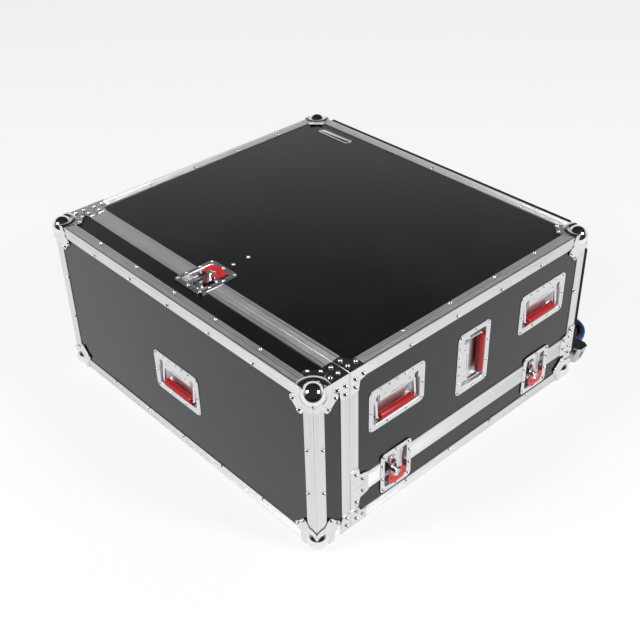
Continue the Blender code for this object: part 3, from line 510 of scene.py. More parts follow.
class Graph:
    """The node tree of a material or of the world."""

    def __init__(self, name: str, world: bool = False) -> None:
        """Make an empty material or world.

        Args:
            name: Its name.
            world: Whether it is a world.
        """
        self.owner = (bpy.data.worlds if world else bpy.data.materials).new(name)
        self.owner.use_nodes = True
        self.tree = self.owner.node_tree
        self.tree.nodes.clear()
        self.world = world

    def node(self, kind: str, settings: dict[str, object] | None = None,
             values: dict[str | int, object] | None = None) -> bpy.types.Node:
        """Add a node.

        Args:
            kind: The node's type.
            settings: Its settings, which are set first. "stops" are a ramp's places and colours.
            values: Numbers, colours or sockets for its inputs, by name or number.

        Returns:
            The node.
        """
        made = self.tree.nodes.new(kind)
        for name, value in (settings or {}).items():
            if name != "stops":
                setattr(made, name, value)
                continue
            ramp = made.color_ramp.elements
            while len(ramp) < len(value):
                ramp.new(1.0)
            for stop, (place, colour) in zip(ramp, value):
                stop.position = place
                stop.color = colour
        for name, value in (values or {}).items():
            if isinstance(value, Socket):
                self.tree.links.new(value.output, made.inputs[name])
            else:
                made.inputs[name].default_value = value
        return made

    def add(self, kind: str, settings: dict[str, object] | None = None,
            values: dict[str | int, object] | None = None, output: str | int = 0) -> Socket:
        """Add a node with settings and inputs, and wrap one of its outputs."""
        return Socket(self, self.node(kind, settings, values).outputs[output])

    def place(self, scale: Triple = (1.0, 1.0, 1.0)) -> Socket:
        """The place on the object in metres, times a scale."""
        where = self.add("ShaderNodeTexCoord", output="Object")
        return self.add("ShaderNodeMapping", {}, {"Vector": where, "Scale": scale})

    def noise(self, scale: float, detail: float = 3.0, stretch: Triple = (1.0, 1.0, 1.0)) -> Socket:
        """Cloudy noise round a half: spots in a metre, finer layers, and a scale along each axis."""
        return self.add("ShaderNodeTexNoise", {}, {"Vector": self.place(stretch), "Scale": scale,
                                                   "Detail": detail, "Roughness": 0.55})

    def cells(self, scale: float, output: str) -> Socket:
        """Cells, so many in a metre: their distance or their colour."""
        return self.add("ShaderNodeTexVoronoi", {}, {"Vector": self.place(), "Scale": scale}, output)

    def blend(self, share: Socket, low: "Socket | Sequence[float]", high: "Socket | Sequence[float]") -> Socket:
        """A colour between two."""
        return self.add("ShaderNodeMix", {"data_type": "RGBA"}, {0: share, 6: low, 7: high}, output=2)

    def mix(self, share: Socket, low: Triple, high: Triple) -> Socket:
        """A solid colour between two."""
        return self.blend(share, (*low, 1.0), (*high, 1.0))

    def along(self, where: Socket, direction: Triple) -> Socket:
        """How far a place or way lies along a direction."""
        return self.add("ShaderNodeVectorMath", {"operation": "DOT_PRODUCT"}, {0: where, 1: direction},
                        output="Value")

    def rays(self, *kinds: str) -> list[Socket]:
        """For each kind of ray, a value that is one on it."""
        path = self.node("ShaderNodeLightPath")
        return [Socket(self, path.outputs[f"Is {kind} Ray"]) for kind in kinds]

    def bump(self, height: Socket, strength: float, distance: float) -> Socket:
        """A bumped normal."""
        return self.add("ShaderNodeBump", {}, {"Height": height, "Strength": strength, "Distance": distance})

    def surface(self, **inputs: object) -> bpy.types.Material:
        """Close the graph with a Principled BSDF, with underscores for spaces in its inputs' names."""
        values = {name.replace("_", " "): value for name, value in inputs.items()}
        return self.close(self.add("ShaderNodeBsdfPrincipled", {}, values))

    def close(self, shader: Socket) -> bpy.types.ID:
        """Link a shader to the output.

        Args:
            shader: The shader.

        Returns:
            The finished material or world.
        """
        kind = "ShaderNodeOutputWorld" if self.world else "ShaderNodeOutputMaterial"
        self.node(kind, {}, {"Surface": shader})
        return self.owner


@dataclass(frozen=True)
class Laminate:
    """Black laminate with a fine grain, faint handling marks and a soft gloss."""

    name: str = "black_laminate"
    dark: Triple = (0.0018, 0.0018, 0.0020)
    light: Triple = (0.0045, 0.0045, 0.0049)
    gloss: float = 0.24
    specular: float = 0.5

    def build(self) -> bpy.types.Material:
        """Make the material."""
        g = Graph(self.name)
        cloud, grain = g.noise(6.0, 5.0), g.noise(1500.0, 2.0)
        scuff = g.noise(40.0, 6.0, (1.0, 6.0, 14.0)).above(0.66, 0.1)
        rough = cloud * 0.10 + grain * 0.06 + scuff * 0.03 + (self.gloss - 0.08)
        return g.surface(Base_Color=g.mix(cloud * 0.6 + grain * 0.4, self.dark, self.light), Roughness=rough,
                         Specular_IOR_Level=self.specular, Normal=g.bump(grain, 0.12, 0.05 * MM))


@dataclass(frozen=True)
class Extrusion:
    """Anodised aluminium with fine drawn lines along its run."""

    run: Run
    light: Triple = (0.82, 0.82, 0.83)
    dark: Triple = (0.70, 0.70, 0.715)

    @property
    def name(self) -> str:
        """The finish's name."""
        return "edging_" + self.run.name.lower()

    def build(self) -> bpy.types.Material:
        """Make the material."""
        g = Graph(self.name)
        lines = g.noise(900.0, 3.0, tuple(0.02 if part else 1.0 for part in self.run.value))
        broad = g.noise(9.0, 4.0)
        nick = g.noise(130.0, 5.0).above(0.70, 0.06)
        rough = lines * 0.16 + broad * 0.10 + nick * 0.10 + 0.22
        return g.surface(Base_Color=g.mix(lines * 0.55 + broad * 0.45, self.dark, self.light), Metallic=1.0,
                         Roughness=rough, Normal=g.bump(lines + nick * 0.5, 0.10, 0.05 * MM))


@dataclass(frozen=True)
class Plating:
    """Plated steel: bright, with faint clouding and the ripple of pressed sheet."""

    name: str
    light: Triple = (0.84, 0.845, 0.86)
    dark: Triple = (0.68, 0.69, 0.71)
    shine: float = 0.14
    ripple: float = 0.10
    spangle: float = 0.0

    def build(self) -> bpy.types.Material:
        """Make the material."""
        g = Graph(self.name)
        cloud, fine, cells = g.noise(28.0, 5.0), g.noise(420.0, 3.0), g.cells(160.0, "Color")
        share = cloud * (0.9 - self.spangle) + fine * 0.1 + cells * self.spangle
        rough = cloud * 0.08 + fine * 0.04 + cells * (self.spangle * 0.12) + (self.shine - 0.06)
        return g.surface(Base_Color=g.mix(share, self.dark, self.light), Metallic=1.0, Roughness=rough,
                         Normal=g.bump(cloud + fine * 0.3, self.ripple, 0.2 * MM))


@dataclass(frozen=True)
class Coating:
    """A coloured coat, moulding or paint, with grain and slight unevenness."""

    name: str
    light: Triple
    dark: Triple
    gloss: float = 0.40
    grain: float = 700.0
    relief: float = 0.15
    coat: float = 0.0
    specular: float = 0.5

    def build(self) -> bpy.types.Material:
        """Make the material."""
        g = Graph(self.name)
        cloud, fine = g.noise(30.0, 4.0), g.noise(self.grain, 3.0)
        rough = cloud * 0.10 + fine * 0.12 + (self.gloss - 0.11)
        return g.surface(Base_Color=g.mix(cloud * 0.7 + fine * 0.3, self.dark, self.light), Roughness=rough,
                         Coat_Weight=self.coat, Coat_Roughness=0.12, Specular_IOR_Level=self.specular,
                         Normal=g.bump(fine + cloud * 0.4, self.relief, 0.08 * MM))


@dataclass(frozen=True)
class FoamFinish:
    """Dark open-cell foam."""

    name: str = "foam"

    def build(self) -> bpy.types.Material:
        """Make the material."""
        g = Graph(self.name)
        cells, cloud = g.cells(700.0, "Distance"), g.noise(25.0, 4.0)
        tint = g.mix(cells * 0.6 + cloud * 0.4, (0.018, 0.018, 0.02), (0.06, 0.06, 0.065))
        return g.surface(Base_Color=tint, Roughness=cloud * 0.05 + 0.9, Normal=g.bump(cells, 0.6, 0.6 * MM))


FINISHES: dict[str, bpy.types.Material] = {
    finish.name: finish.build() for finish in (
        Laminate(),
        Laminate("board_paint", gloss=0.7, specular=0.2),
        Plating("plate_steel"),
        Plating("dish_steel", shine=0.20, ripple=0.10),
        Plating("tray_steel", shine=0.44, ripple=0.08),
        Plating("ball_chrome", light=(0.86, 0.86, 0.87), dark=(0.80, 0.80, 0.81), shine=0.07, ripple=0.02),
        Plating("rivet_steel", shine=0.12, ripple=0.05),
        # A darker copy of the zinc for the brake pedal: the darkness is painted shade, not a different plating.
        Plating("pedal_steel", light=(0.60, 0.60, 0.62), dark=(0.46, 0.46, 0.48), shine=0.20, spangle=0.1),
        Plating("zinc", light=(0.74, 0.75, 0.77), dark=(0.56, 0.57, 0.60), shine=0.26, spangle=0.5),
        Coating("red_grip", (0.52, 0.003, 0.006), (0.38, 0.001, 0.004), gloss=0.34, grain=900.0),
        Coating("red_wing", (0.66, 0.012, 0.010), (0.50, 0.006, 0.006), gloss=0.34, relief=0.08, coat=0.3),
        Coating("blue_tyre", (0.0, 0.055, 0.19), (0.0, 0.035, 0.13), gloss=0.46, grain=500.0, relief=0.2),
        Coating("dark_paint", (0.065, 0.058, 0.075), (0.040, 0.035, 0.047), gloss=0.42),
        Coating("black_plastic", (0.006, 0.006, 0.006), (0.003, 0.003, 0.003), gloss=0.5, specular=0.12),
        FoamFinish(),
        *(Extrusion(run) for run in Run),
    )
}


def dress(obj: Piece, finish: str) -> Piece:
    """Give a piece its finish.

    Args:
        obj: The piece.
        finish: Name of the finish.

    Returns:
        The piece.
    """
    obj.data.materials.clear()
    obj.data.materials.append(FINISHES[finish])
    return obj


def settle(obj: Piece, body: str, slot: str, *nodes: str) -> Piece:
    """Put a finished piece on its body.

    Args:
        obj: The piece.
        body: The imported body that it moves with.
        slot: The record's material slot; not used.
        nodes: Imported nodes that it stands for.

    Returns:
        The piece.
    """
    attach(obj, body)
    if nodes:
        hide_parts(*nodes)
    LOG.info("%s rides on %s: %d faces", obj.name, body, len(obj.data.polygons))
    return obj


def place(pattern: Piece, name: str, matrix: Matrix, body: str, slot: str, *nodes: str) -> None:
    """Put a copy of a finished pattern on a body, as settle does."""
    settle(Bench.copy(pattern, name, matrix), body, slot, *nodes)


@dataclass(frozen=True)
class Case:
    """The case's faces and seams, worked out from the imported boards."""

    edge: float = 1.5 * MM
    skin: float = 1.8 * MM
    seam: float = 0.4 * MM
    cover_depth: float = 101.5 * MM
    base_height: float = 108.0 * MM

    @property
    def origin(self) -> Vector:
        """The middle of the front lower edge."""
        low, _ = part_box("cover_shell")
        return Vector((0.0, low.y - self.skin, low.z - self.skin))

    @property
    def half(self) -> float:
        """Half the width over the edging."""
        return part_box("cover_shell")[1].x + self.skin

    @property
    def depth(self) -> float:
        """Depth over the edging."""
        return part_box("lid_top_back")[1].y + self.skin - self.origin.y

    @property
    def height(self) -> float:
        """Height over the edging."""
        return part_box("lid_top_back")[1].z + self.skin - self.origin.z

    @property
    def cover_back(self) -> float:
        """The cover's rear edge, from the front."""
        return self.cover_depth - self.seam / 2

    @property
    def lid_front(self) -> float:
        """The front edge of lid and base, from the front."""
        return self.cover_depth + self.seam / 2

    @property
    def base_top(self) -> float:
        """The base's upper edge."""
        return self.base_height - self.seam / 2

    @property
    def lid_foot(self) -> float:
        """The lid's lower edge."""
        return self.base_height + self.seam / 2

    def at(self, x: float, y: float, z: float) -> Vector:
        """A place in the row's frame, from the middle, the front and the foot of the case."""
        return self.origin + Vector((x, y, z))

    def side_face(self, side: Side) -> Matrix:
        """The frame of a side face: X to the rear, Y up, Z outward."""
        return basis(AFT, UP, (side.value, 0, 0), self.at(side.value * self.half, 0.0, 0.0))

    def level_face(self, side: Side, top: bool) -> Matrix:
        """The frame of the top or bottom at a side: X to the rear, Y inward, Z outward."""
        place = self.at(side.value * self.half, 0.0, self.height if top else 0.0)
        return basis(AFT, (-side.value, 0, 0), UP if top else DOWN, place)

    def hardware(self, node: str, up: Triple, out: Triple, along: float = 0.0) -> Matrix:
        """The frame of a handle or latch: Y up its dish and Z outward, on the case's face.

        Args:
            node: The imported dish.
            up: Direction of its Y.
            out: Direction of its Z.
            along: How far up from the dish's middle the frame sits.

        Returns:
            The frame.
        """
        low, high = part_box(node)
        rise, face = Vector(up), Vector(out)
        middle = (low + high) / 2
        if out[2]:
            middle.z = self.origin.z + self.height
        elif out[0]:
            middle.x = out[0] * self.half
        else:
            middle.y = self.origin.y
        return basis(rise.cross(face), rise, face, middle + rise * along)


CASE = Case()


@dataclass
class Rivets:
    """Domed rivets of one body, gathered while its pieces are made."""

    body: str
    radius: float = 4.7 * MM
    places: list[tuple[Matrix, float]] = field(default_factory=list)

    def put(self, matrix: Matrix, points: Iterable[Point], height: float = 0.0, size: float = 1.0) -> None:
        """Note rivets on a face.

        Args:
            matrix: The face's frame.
            points: Their places in its X and Y.
            height: The height of the sheet they sit on.
            size: Their size beside the usual one.
        """
        turn = matrix.to_3x3().col[2].normalized().to_track_quat("Z", "Y").to_matrix().to_4x4()
        for x, y in points:
            self.places.append((Matrix.Translation(matrix @ Vector((x, y, height))) @ turn, size))

    def model(self) -> Piece:
        """Model one rivet: a shallow dome with a dimple, on a thin collar."""
        r = self.radius
        bench = Bench("rivet", bpy.ops.mesh.primitive_uv_sphere_add, segments=12, ring_count=8, radius=r)
        bench.saw(NOWHERE, DOWN).scale((1.0, 1.0, 0.50))
        bench.pick(Pick.FACES, lambda face: face.normal.z > 0.93 and face.calc_center_median().z > 0.3 * r)
        bench.inset(r * 0.10).shift((0.0, 0.0, -r * 0.10))
        bench.pick(Pick.FACES, lambda face: face.normal.z < -0.9).rise(-0.4 * MM)
        return dress(bench.take(50.0), "rivet_steel")

    def build(self) -> None:
        """Place all the rivets as one piece."""
        first = self.model()
        copies = [Bench.copy(first, "rivet", matrix @ Matrix.Scale(size, 4)) for matrix, size in self.places]
        Bench.discard(first)
        settle(Bench.join(self.body + "_rivets", copies), self.body, "ball_corner")


RIVETS = {body: Rivets(body) for body in ("base", "lid", "cover")}


@dataclass
class Edging:
    """The aluminium edging: ridged extrusions, sawn to length and mitred."""

    angle_width: float = 30.0 * MM
    rail_width: float = 25.0 * MM
    wall: float = 10.8 * MM
    tongue_depth: float = 11.3 * MM
    tongue_thickness: float = 1.3 * MM
    tongue_rise: float = 6.0 * MM
    groove_depth: float = 0.45 * MM
    groove_half: float = 0.6 * MM
    corner_gap: float = 33.0 * MM
    latch_gap: float = 38.5 * MM
    templates: dict[Section, Piece] = field(default_factory=dict)
    pieces: list[Piece] = field(default_factory=list)

    def ridges(self, places: Sequence[float]) -> list[Point]:
        """Points of a flat run with grooves in it.

        Args:
            places: The grooves' middles in millimetres, falling.

        Returns:
            Points along the run and into it.
        """
        points = []
        for place in places:
            middle = place * MM
            points += [(middle + self.groove_half, 0.0), (middle + self.groove_half * 0.5, self.groove_depth),
                       (middle - self.groove_half * 0.5, self.groove_depth), (middle - self.groove_half, 0.0)]
        return points

    def outline(self, section: Section) -> list[Point]:
        """The outline of an extrusion.

        Args:
            section: Which extrusion.

        Returns:
            Its points: X along its face from edge or seam, Y into the case.
        """
        t = CASE.edge
        if section is Section.ANGLE:
            nose = [(2.0, 0.0), (1.2, 0.15), (0.7, 0.4), (0.95, 0.95), (0.4, 0.7), (0.15, 1.2), (0.0, 2.0)]
            face = [(self.angle_width, 0.0)] + self.ridges((26.5, 20.0, 13.5, 10.0, 6.5))
            other = [(y, x) for x, y in reversed(face)]
            return face + [(x * MM, y * MM) for x, y in nose] + other + [
                (t, self.angle_width), (t, t), (self.angle_width, t)]
        face = [(self.rail_width, 0.0), *self.ridges((21.8, 13.6, 10.4, 7.2, 4.0)), (0.5 * MM, 0.0),
                (0.0, 0.5 * MM)]
        if section is Section.GROOVE:
            return face + [(0.0, self.wall), (t, self.wall), (t, t), (self.rail_width, t)]
        start, end = self.tongue_depth, self.tongue_depth + self.tongue_thickness
        tip = -self.tongue_rise
        lip = [(0.0, start), (tip + 0.3 * MM, start), (tip, start + 0.3 * MM), (tip, end - 0.3 * MM),
               (tip + 0.3 * MM, end), (t, end)]
        return face + lip + [(t, t), (self.rail_width, t)]

    def model(self) -> None:
        """Model a metre of each extrusion, along Z."""
        for section in Section:
            bench = Bench.trace(section.name.lower(), self.outline(section))
            bench.rise(1.0).closed()
            self.templates[section] = bench.take(40.0)

    def lay(self, section: Section, run: Run, start: Triple, length: float, face: Triple, depth: Triple,
            ends: tuple[End, End] = SQUARE_ENDS, gaps: Sequence[float] = ()) -> None:
        """Saw a run of extrusion and lay it on the case, left open at the latches.

        Args:
            section: Which extrusion.
            run: The direction it runs in.
            start: Where it starts, from the middle, the front and the foot of the case.
            length: Its whole length.
            face: Direction of its outline's X.
            depth: Direction of its outline's Y.
            ends: How its two ends are sawn.
            gaps: Middles of the latches, from the start.
        """
        tilt = {End.OVER_EDGE: (0.0, 1.0), End.IN_FACE: (1.0, 0.0)}
        marks = [0.0, *(middle + way * self.latch_gap for middle in gaps for way in (-1, 1)), length]
        for low, high in zip(marks[::2], marks[1::2]):
            stretch = Matrix.Diagonal((1.0, 1.0, high - low, 1.0))
            piece = Bench.copy(self.templates[section], "length", stretch)
            cuts = [(height, (*tilt[end], way)) for end, height, way, outer in
                    ((ends[0], 0.0, -1.0, low == 0.0), (ends[1], high - low, 1.0, high == length))
                    if outer and end is not End.SQUARE]
            if cuts:
                bench = Bench.reopen(piece)
                for height, away in cuts:
                    bench.saw((0.0, 0.0, height), away)
                bench.take(40.0)
            Bench.move(piece, basis(face, depth, run.value, CASE.at(*start) + Vector(run.value) * low))
            self.pieces.append(dress(piece, "edging_" + run.name.lower()))

    def finish(self, body: str) -> None:
        """Join the lengths laid so far into the rails of a body."""
        settle(Bench.join(body + "_rails", self.pieces), body, "edging", body + "_edging")
        self.pieces = []

    def cover(self, latch_x: float) -> None:
        """Edging of the front cover.

        Args:
            latch_x: Middle of the top latch.
        """
        c, gap, wide = CASE, self.corner_gap, 2 * CASE.half
        levels = ((0.0, UP), (c.height, DOWN))
        for side in Side:
            x, inward = side.value * c.half, (-side.value, 0.0, 0.0)
            self.lay(Section.ANGLE, Run.Z, (x, 0, gap), c.height - 2 * gap, AFT, inward)
            self.lay(Section.TONGUE, Run.Z, (x, c.cover_back, 0), c.height, FORWARD, inward, OVER_EDGES)
            for z, up in levels:
                self.lay(Section.ANGLE, Run.Y, (x, gap, z), c.cover_back - self.rail_width - gap, up, inward)
        for z, up in levels:
            self.lay(Section.ANGLE, Run.X, (gap - c.half, 0, z), wide - 2 * gap, AFT, up)
            self.lay(Section.TONGUE, Run.X, (-c.half, c.cover_back, z), wide, FORWARD, up, OVER_EDGES,
                     [c.half + latch_x] if z else [])
        self.finish("cover")

    def shell(self, body: str, seam: float, edge: float, latch_ys: Sequence[float],
              gaps: Sequence[float]) -> None:
        """Edging of the lid or of the base.

        Args:
            body: Which of the two.
            seam: Height of its seam.
            edge: Height of its outer edge.
            latch_ys: Middles of the side latches, from the front.
            gaps: Middles of the latches in its front rail, from the left.
        """
        c, gap, rail, front, wide = CASE, self.corner_gap, self.rail_width, CASE.lid_front, 2 * CASE.half
        lid = edge > seam
        low, high = sorted((seam, edge))
        foot, head = (low + rail, high - gap) if lid else (low + gap, high - rail)
        out, back = (UP, DOWN) if lid else (DOWN, UP)
        at_seam = Section.GROOVE if lid else Section.TONGUE
        for side in Side:
            x, inward = side.value * c.half, (-side.value, 0.0, 0.0)
            self.lay(Section.GROOVE, Run.Z, (x, front, low), high - low, AFT, inward,
                     SEAM_TO_EDGE if lid else SEAM_TO_EDGE[::-1])
            self.lay(at_seam, Run.Y, (x, front, seam), c.depth - front, out, inward, SEAM_TO_EDGE,
                     [y - front for y in latch_ys])
            self.lay(Section.ANGLE, Run.Y, (x, front + rail, edge), c.depth - gap - front - rail, back, inward)
            self.lay(Section.ANGLE, Run.Z, (x, c.depth, foot), head - foot, FORWARD, inward)
        self.lay(at_seam, Run.X, (-c.half, c.depth, seam), wide, out, FORWARD, OVER_EDGES)
        self.lay(Section.ANGLE, Run.X, (gap - c.half, c.depth, edge), wide - 2 * gap, FORWARD, back)
        self.lay(Section.GROOVE, Run.X, (-c.half, front, edge), wide, AFT, back, OVER_EDGES, gaps)
        self.finish(body)

    def build(self, latch_x: float, latch_ys: Sequence[float]) -> None:
        """Lay the edging of all three bodies.

        Args:
            latch_x: Middle of the top latch.
            latch_ys: Middles of the side latches, from the front.
        """
        self.model()
        self.cover(latch_x)
        self.shell("lid", CASE.lid_foot, CASE.height, latch_ys, [CASE.half + latch_x])
        self.shell("base", CASE.base_top, 0.0, latch_ys, [])
        Bench.discard(*self.templates.values())


@dataclass(frozen=True)
class PlateJob:
    """One pattern of riveted plate, laid on several faces of a body."""

    name: str
    body: str
    faces: tuple[Matrix, ...]
    outline: tuple[Point, ...]
    rivets: tuple[Point, ...]


@dataclass
class Braces:
    """Riveted steel plates over the ends of the seams. Outlines are in millimetres."""

    thickness: float = 1.5 * MM
    corner: float = 2.2 * MM
    wrap: float = -1.2
    band: float = 25.0

    def end(self, length: float, leg: float, band: float) -> list[Point]:
        """Half a plate behind a seam: along an edge, and down the seam."""
        return [(0, self.wrap), (length, self.wrap), (length, band + 2), (length - 10, band + 6),
                (band + 4, band + 9), (band, leg), (0, leg)]

    def round_lobe(self, leg: float, back: float) -> list[Point]:
        """Half a plate on the cover, which runs round the ball corner's lobe."""
        return [(back, self.wrap), (back, leg), (76, leg), (73, 46), (73, 36), (69, 30.5), (62, 27.5),
                (54, 20.5), (46, 10), (46, self.wrap)]

    def short(self, leg: float, back: float) -> list[Point]:
        """The shorter half plate at the foot of the cover."""
        return [(back, self.wrap), (back, leg), (back - 22, leg), (back - 28, leg - 10), (back - 30, self.wrap)]

    @staticmethod
    def placed(points: Iterable[Point], start: float = 0.0, foot: float = 0.0, along: float = 1.0,
               up: float = 1.0) -> tuple[Point, ...]:
        """Put points in millimetres at a start and a foot in metres, run back or hung down by minus one."""
        return tuple((start + along * x * MM, foot + up * y * MM) for x, y in points)

    def jobs(self) -> list[PlateJob]:
        """All the plates of the case."""
        c = CASE
        sides = tuple(c.side_face(side) for side in Side)
        tops = tuple(c.level_face(side, True) for side in Side)
        feet = tuple(c.level_face(side, False) for side in Side)
        seam = c.lid_front + c.seam
        back = (c.cover_back - c.seam) / MM
        rear = c.depth + self.thickness
        p = self.placed
        return [
            PlateJob("upper", "lid", sides, p(self.end(52.5, 60, self.band), seam, c.height, up=-1),
                     p([(141, 22), (118, 25), (118, 46)], 0, c.height, up=-1)),
            PlateJob("tee", "lid", sides, p(self.end(56, 56, self.band), seam, c.lid_foot + c.seam),
                     p([(119, 148), (139, 125)])),
            PlateJob("rear", "lid", sides, p(self.end(54, 50, 23), rear, c.lid_foot + c.seam, -1),
                     p([(902, 148), (900, 127), (876, 126)])),
            PlateJob("top", "lid", tops, p(self.end(42, 52, self.band), seam + c.seam),
                     p([(114, 40), (136, 17), (113, 17)])),
            PlateJob("low", "base", sides, p(self.end(50, 46, self.band), seam),
                     p([(119, 37), (140, 15), (119, 15)])),
            PlateJob("tee", "base", sides, p(self.end(56, 56, self.band), seam, c.base_top - c.seam, up=-1),
                     p([(140, 88), (120, 65)])),
            PlateJob("rear", "base", sides, p(self.end(54, 36, 23), rear, c.base_top - c.seam, -1, -1),
                     p([(901, 96), (877, 97), (900, 76)])),
            PlateJob("foot", "base", feet, p(self.end(50, 46, self.band), seam + c.seam),
                     p([(119, 37), (140, 15), (119, 15)])),
            PlateJob("upper", "cover", sides, p(self.round_lobe(60, back), 0, c.height, up=-1),
                     p([(89, 27), (67, 26), (89, 49)], 0, c.height, up=-1)),
            PlateJob("low", "cover", sides, p(self.short(46, back)), p([(90, 36), (89, 13)])),
            PlateJob("top", "cover", tops, p(self.round_lobe(52, back)), p([(85, 37), (83, 14), (61, 13)])),
            PlateJob("foot", "cover", feet, p(self.short(46, back)), p([(90, 36), (89, 13)])),
        ]

    def build(self) -> None:
        """Make the plates of each body as one piece and note their rivets."""
        made: dict[str, list[Piece]] = {}
        for job in self.jobs():
            bench = Bench.trace(job.name, job.outline).round_corners(self.corner)
            bench.rise(self.thickness).closed()
            pattern = dress(bench.soften(0.35 * MM).take(), "plate_steel")
            for matrix in job.faces:
                made.setdefault(job.body, []).append(Bench.copy(pattern, job.name, matrix))
                RIVETS[job.body].put(matrix, job.rivets, self.thickness, 1.12)
            Bench.discard(pattern)
        for body, plates in made.items():
            settle(Bench.join(body + "_braces", plates), body, "ball_corner")


@dataclass
class BallCorners:
    """Eight ball corners: a polished ball in a raised ring, on three lobed and riveted plates.

    The ring's profile, the lobes and the rivets are in millimetres.
    """

    radius: float = 27.0 * MM
    inset: float = 16.5 * MM
    foot: float = 10.0 * MM
    gap: float = 0.3 * MM
    thickness: float = 1.5 * MM
    ring: tuple[Point, ...] = ((19.0, 0.3), (37.6, 0.3), (37.0, 1.9), (35.2, 2.6), (28.0, 2.9), (23.6, 2.6),
                               (21.6, 1.9), (19.0, 1.9))
    ring_reach: float = 2.7 * MM
    core: float = 28.0 * MM
    core_reach: float = 60.0 * MM
    lobes: tuple[Point, ...] = ((18, 48), (27, 57.5), (32.5, 66), (39, 70), (46, 67), (50.5, 59.5),
                                (55.5, 55.5))
    rivets: tuple[Point, ...] = ((42.0, 61.5), (61.5, 42.0))

    def plate_outline(self) -> list[Point]:
        """The outline of a lobed plate in distances from the face's two edges."""
        half = [(-0.5, 30.0), (-0.5, 38.0), *self.lobes]
        return in_mm([*half, *((y, x) for x, y in reversed(half[:-1])), (12.0, 12.0)])

    @staticmethod
    def face(axis: int) -> Matrix:
        """The frame of one of the corner's faces, in distances in from the three faces."""
        units = [Vector(run.value) for run in Run]
        return basis(units[(axis + 1) % 3], units[(axis + 2) % 3], -units[axis])

    def model_plate(self) -> Piece:
        """Model a plate with its raised ring, for one face."""
        bench = Bench.trace("lobes", self.plate_outline(), self.gap)
        bench.round_corners(2.5 * MM).rise(self.thickness).closed()
        sheet = bench.soften(0.35 * MM).take()
        ring = Bench.lathe("ring", in_mm(self.ring), 48).shift((self.inset, self.inset, 0.0))
        core = Bench.drum("core", -self.core_reach, self.core_reach, self.core, 64).take()
        inward = Vector((1, 1, -1)).to_track_quat("Z", "Y").to_matrix().to_4x4()
        ring.carve(Bench.move(core, Matrix.Translation((self.inset, self.inset, -self.inset)) @ inward))
        for away in (Vector((-1, 0, 0)), Vector((0, -1, 0))):
            ring.saw(away * self.ring_reach, away)
        return dress(Bench.join("plate", [sheet, ring.closed().take(30.0)]), "plate_steel")

    def model(self, low: bool) -> Piece:
        """Model a corner in distances in from the three faces.

        Args:
            low: Whether it is one that the case stands on, with a worn flat.

        Returns:
            The corner, its ball and plates in their own finishes.
        """
        middle = (self.inset,) * 3
        bench = Bench("ball", bpy.ops.mesh.primitive_uv_sphere_add, segments=40, ring_count=24,
                      radius=self.radius, location=middle)
        bench.carve(Bench.block("inside", (CASE.edge,) * 3, (0.1,) * 3).take())
        if low:
            bench.saw((0.0, 0.0, -self.foot), DOWN)
        ball = dress(bench.take(25.0), "ball_chrome")
        pattern = self.model_plate()
        plates = [Bench.copy(pattern, "plate", self.face(axis)) for axis in range(3)]
        Bench.discard(pattern)
        return Bench.join("corner", [ball, *plates])

    def build(self) -> None:
        """Place the eight corners and note their rivets."""
        c = CASE
        spots = (("corner_cover_lower", "cover", 0, 0), ("corner_cover_upper", "cover", 0, 1),
                 ("corner_base", "base", 1, 0), ("corner_lid", "lid", 1, 1))
        patterns = {low: self.model(low) for low in (True, False)}
        for label, body, back, top in spots:
            for side in Side:
                name = f"{label}_{side.label}"
                origin = Matrix.Translation(c.at(side.value * c.half, back * c.depth, top * c.height))
                matrix = origin @ Matrix.Diagonal((-side.value, 1.0 - 2 * back, 1.0 - 2 * top, 1.0))
                place(patterns[not top], "ball_" + name, matrix, body, "ball_corner", name)
                for axis in range(3):
                    RIVETS[body].put(matrix @ self.face(axis), in_mm(self.rivets), self.gap + self.thickness,
                                     0.95)
        Bench.discard(*patterns.values())


@dataclass(frozen=True)
class Pressing:
    """A pressed dish: a flat rim round a well that steps in and down, its outer edge turned down."""

    name: str
    size: Point
    middle: float
    level: float
    corner: float
    rim: float
    wall: float
    turned: float
    soft: float
    steps: tuple[Triple, ...]
    lip: float = 2.2 * MM
    ease: float = 1.2 * MM

    def model(self, finish: str) -> Piece:
        """Model the dish.

        Args:
            finish: Name of its finish.

        Returns:
            The dish.
        """
        centre = (0.0, self.middle, self.level)
        bench = Bench.sheet(self.name, self.size, self.level, self.corner, 6, centre[:2])
        bench.inset(self.lip - 0.2 * MM).inset(0.2 * MM)
        across, along = ((side - 2 * self.rim + 2 * self.ease) / (side - 2 * self.lip) for side in self.size)
        bench.scale((across, along, 1.0), centre).inset(self.ease)
        for drop, across, along in self.steps:
            bench.rise(-drop).scale((across, along, 1.0), centre)
        edge = self.level - 0.1 * MM
        bench.pick(Pick.EDGES, lambda e: e.is_boundary and e.verts[0].co.z > edge)
        bench.rise(-self.turned).modifier("SOLIDIFY", thickness=self.wall, offset=-1.0)
        return dress(bench.soften(self.soft, 28.0).take(), finish)


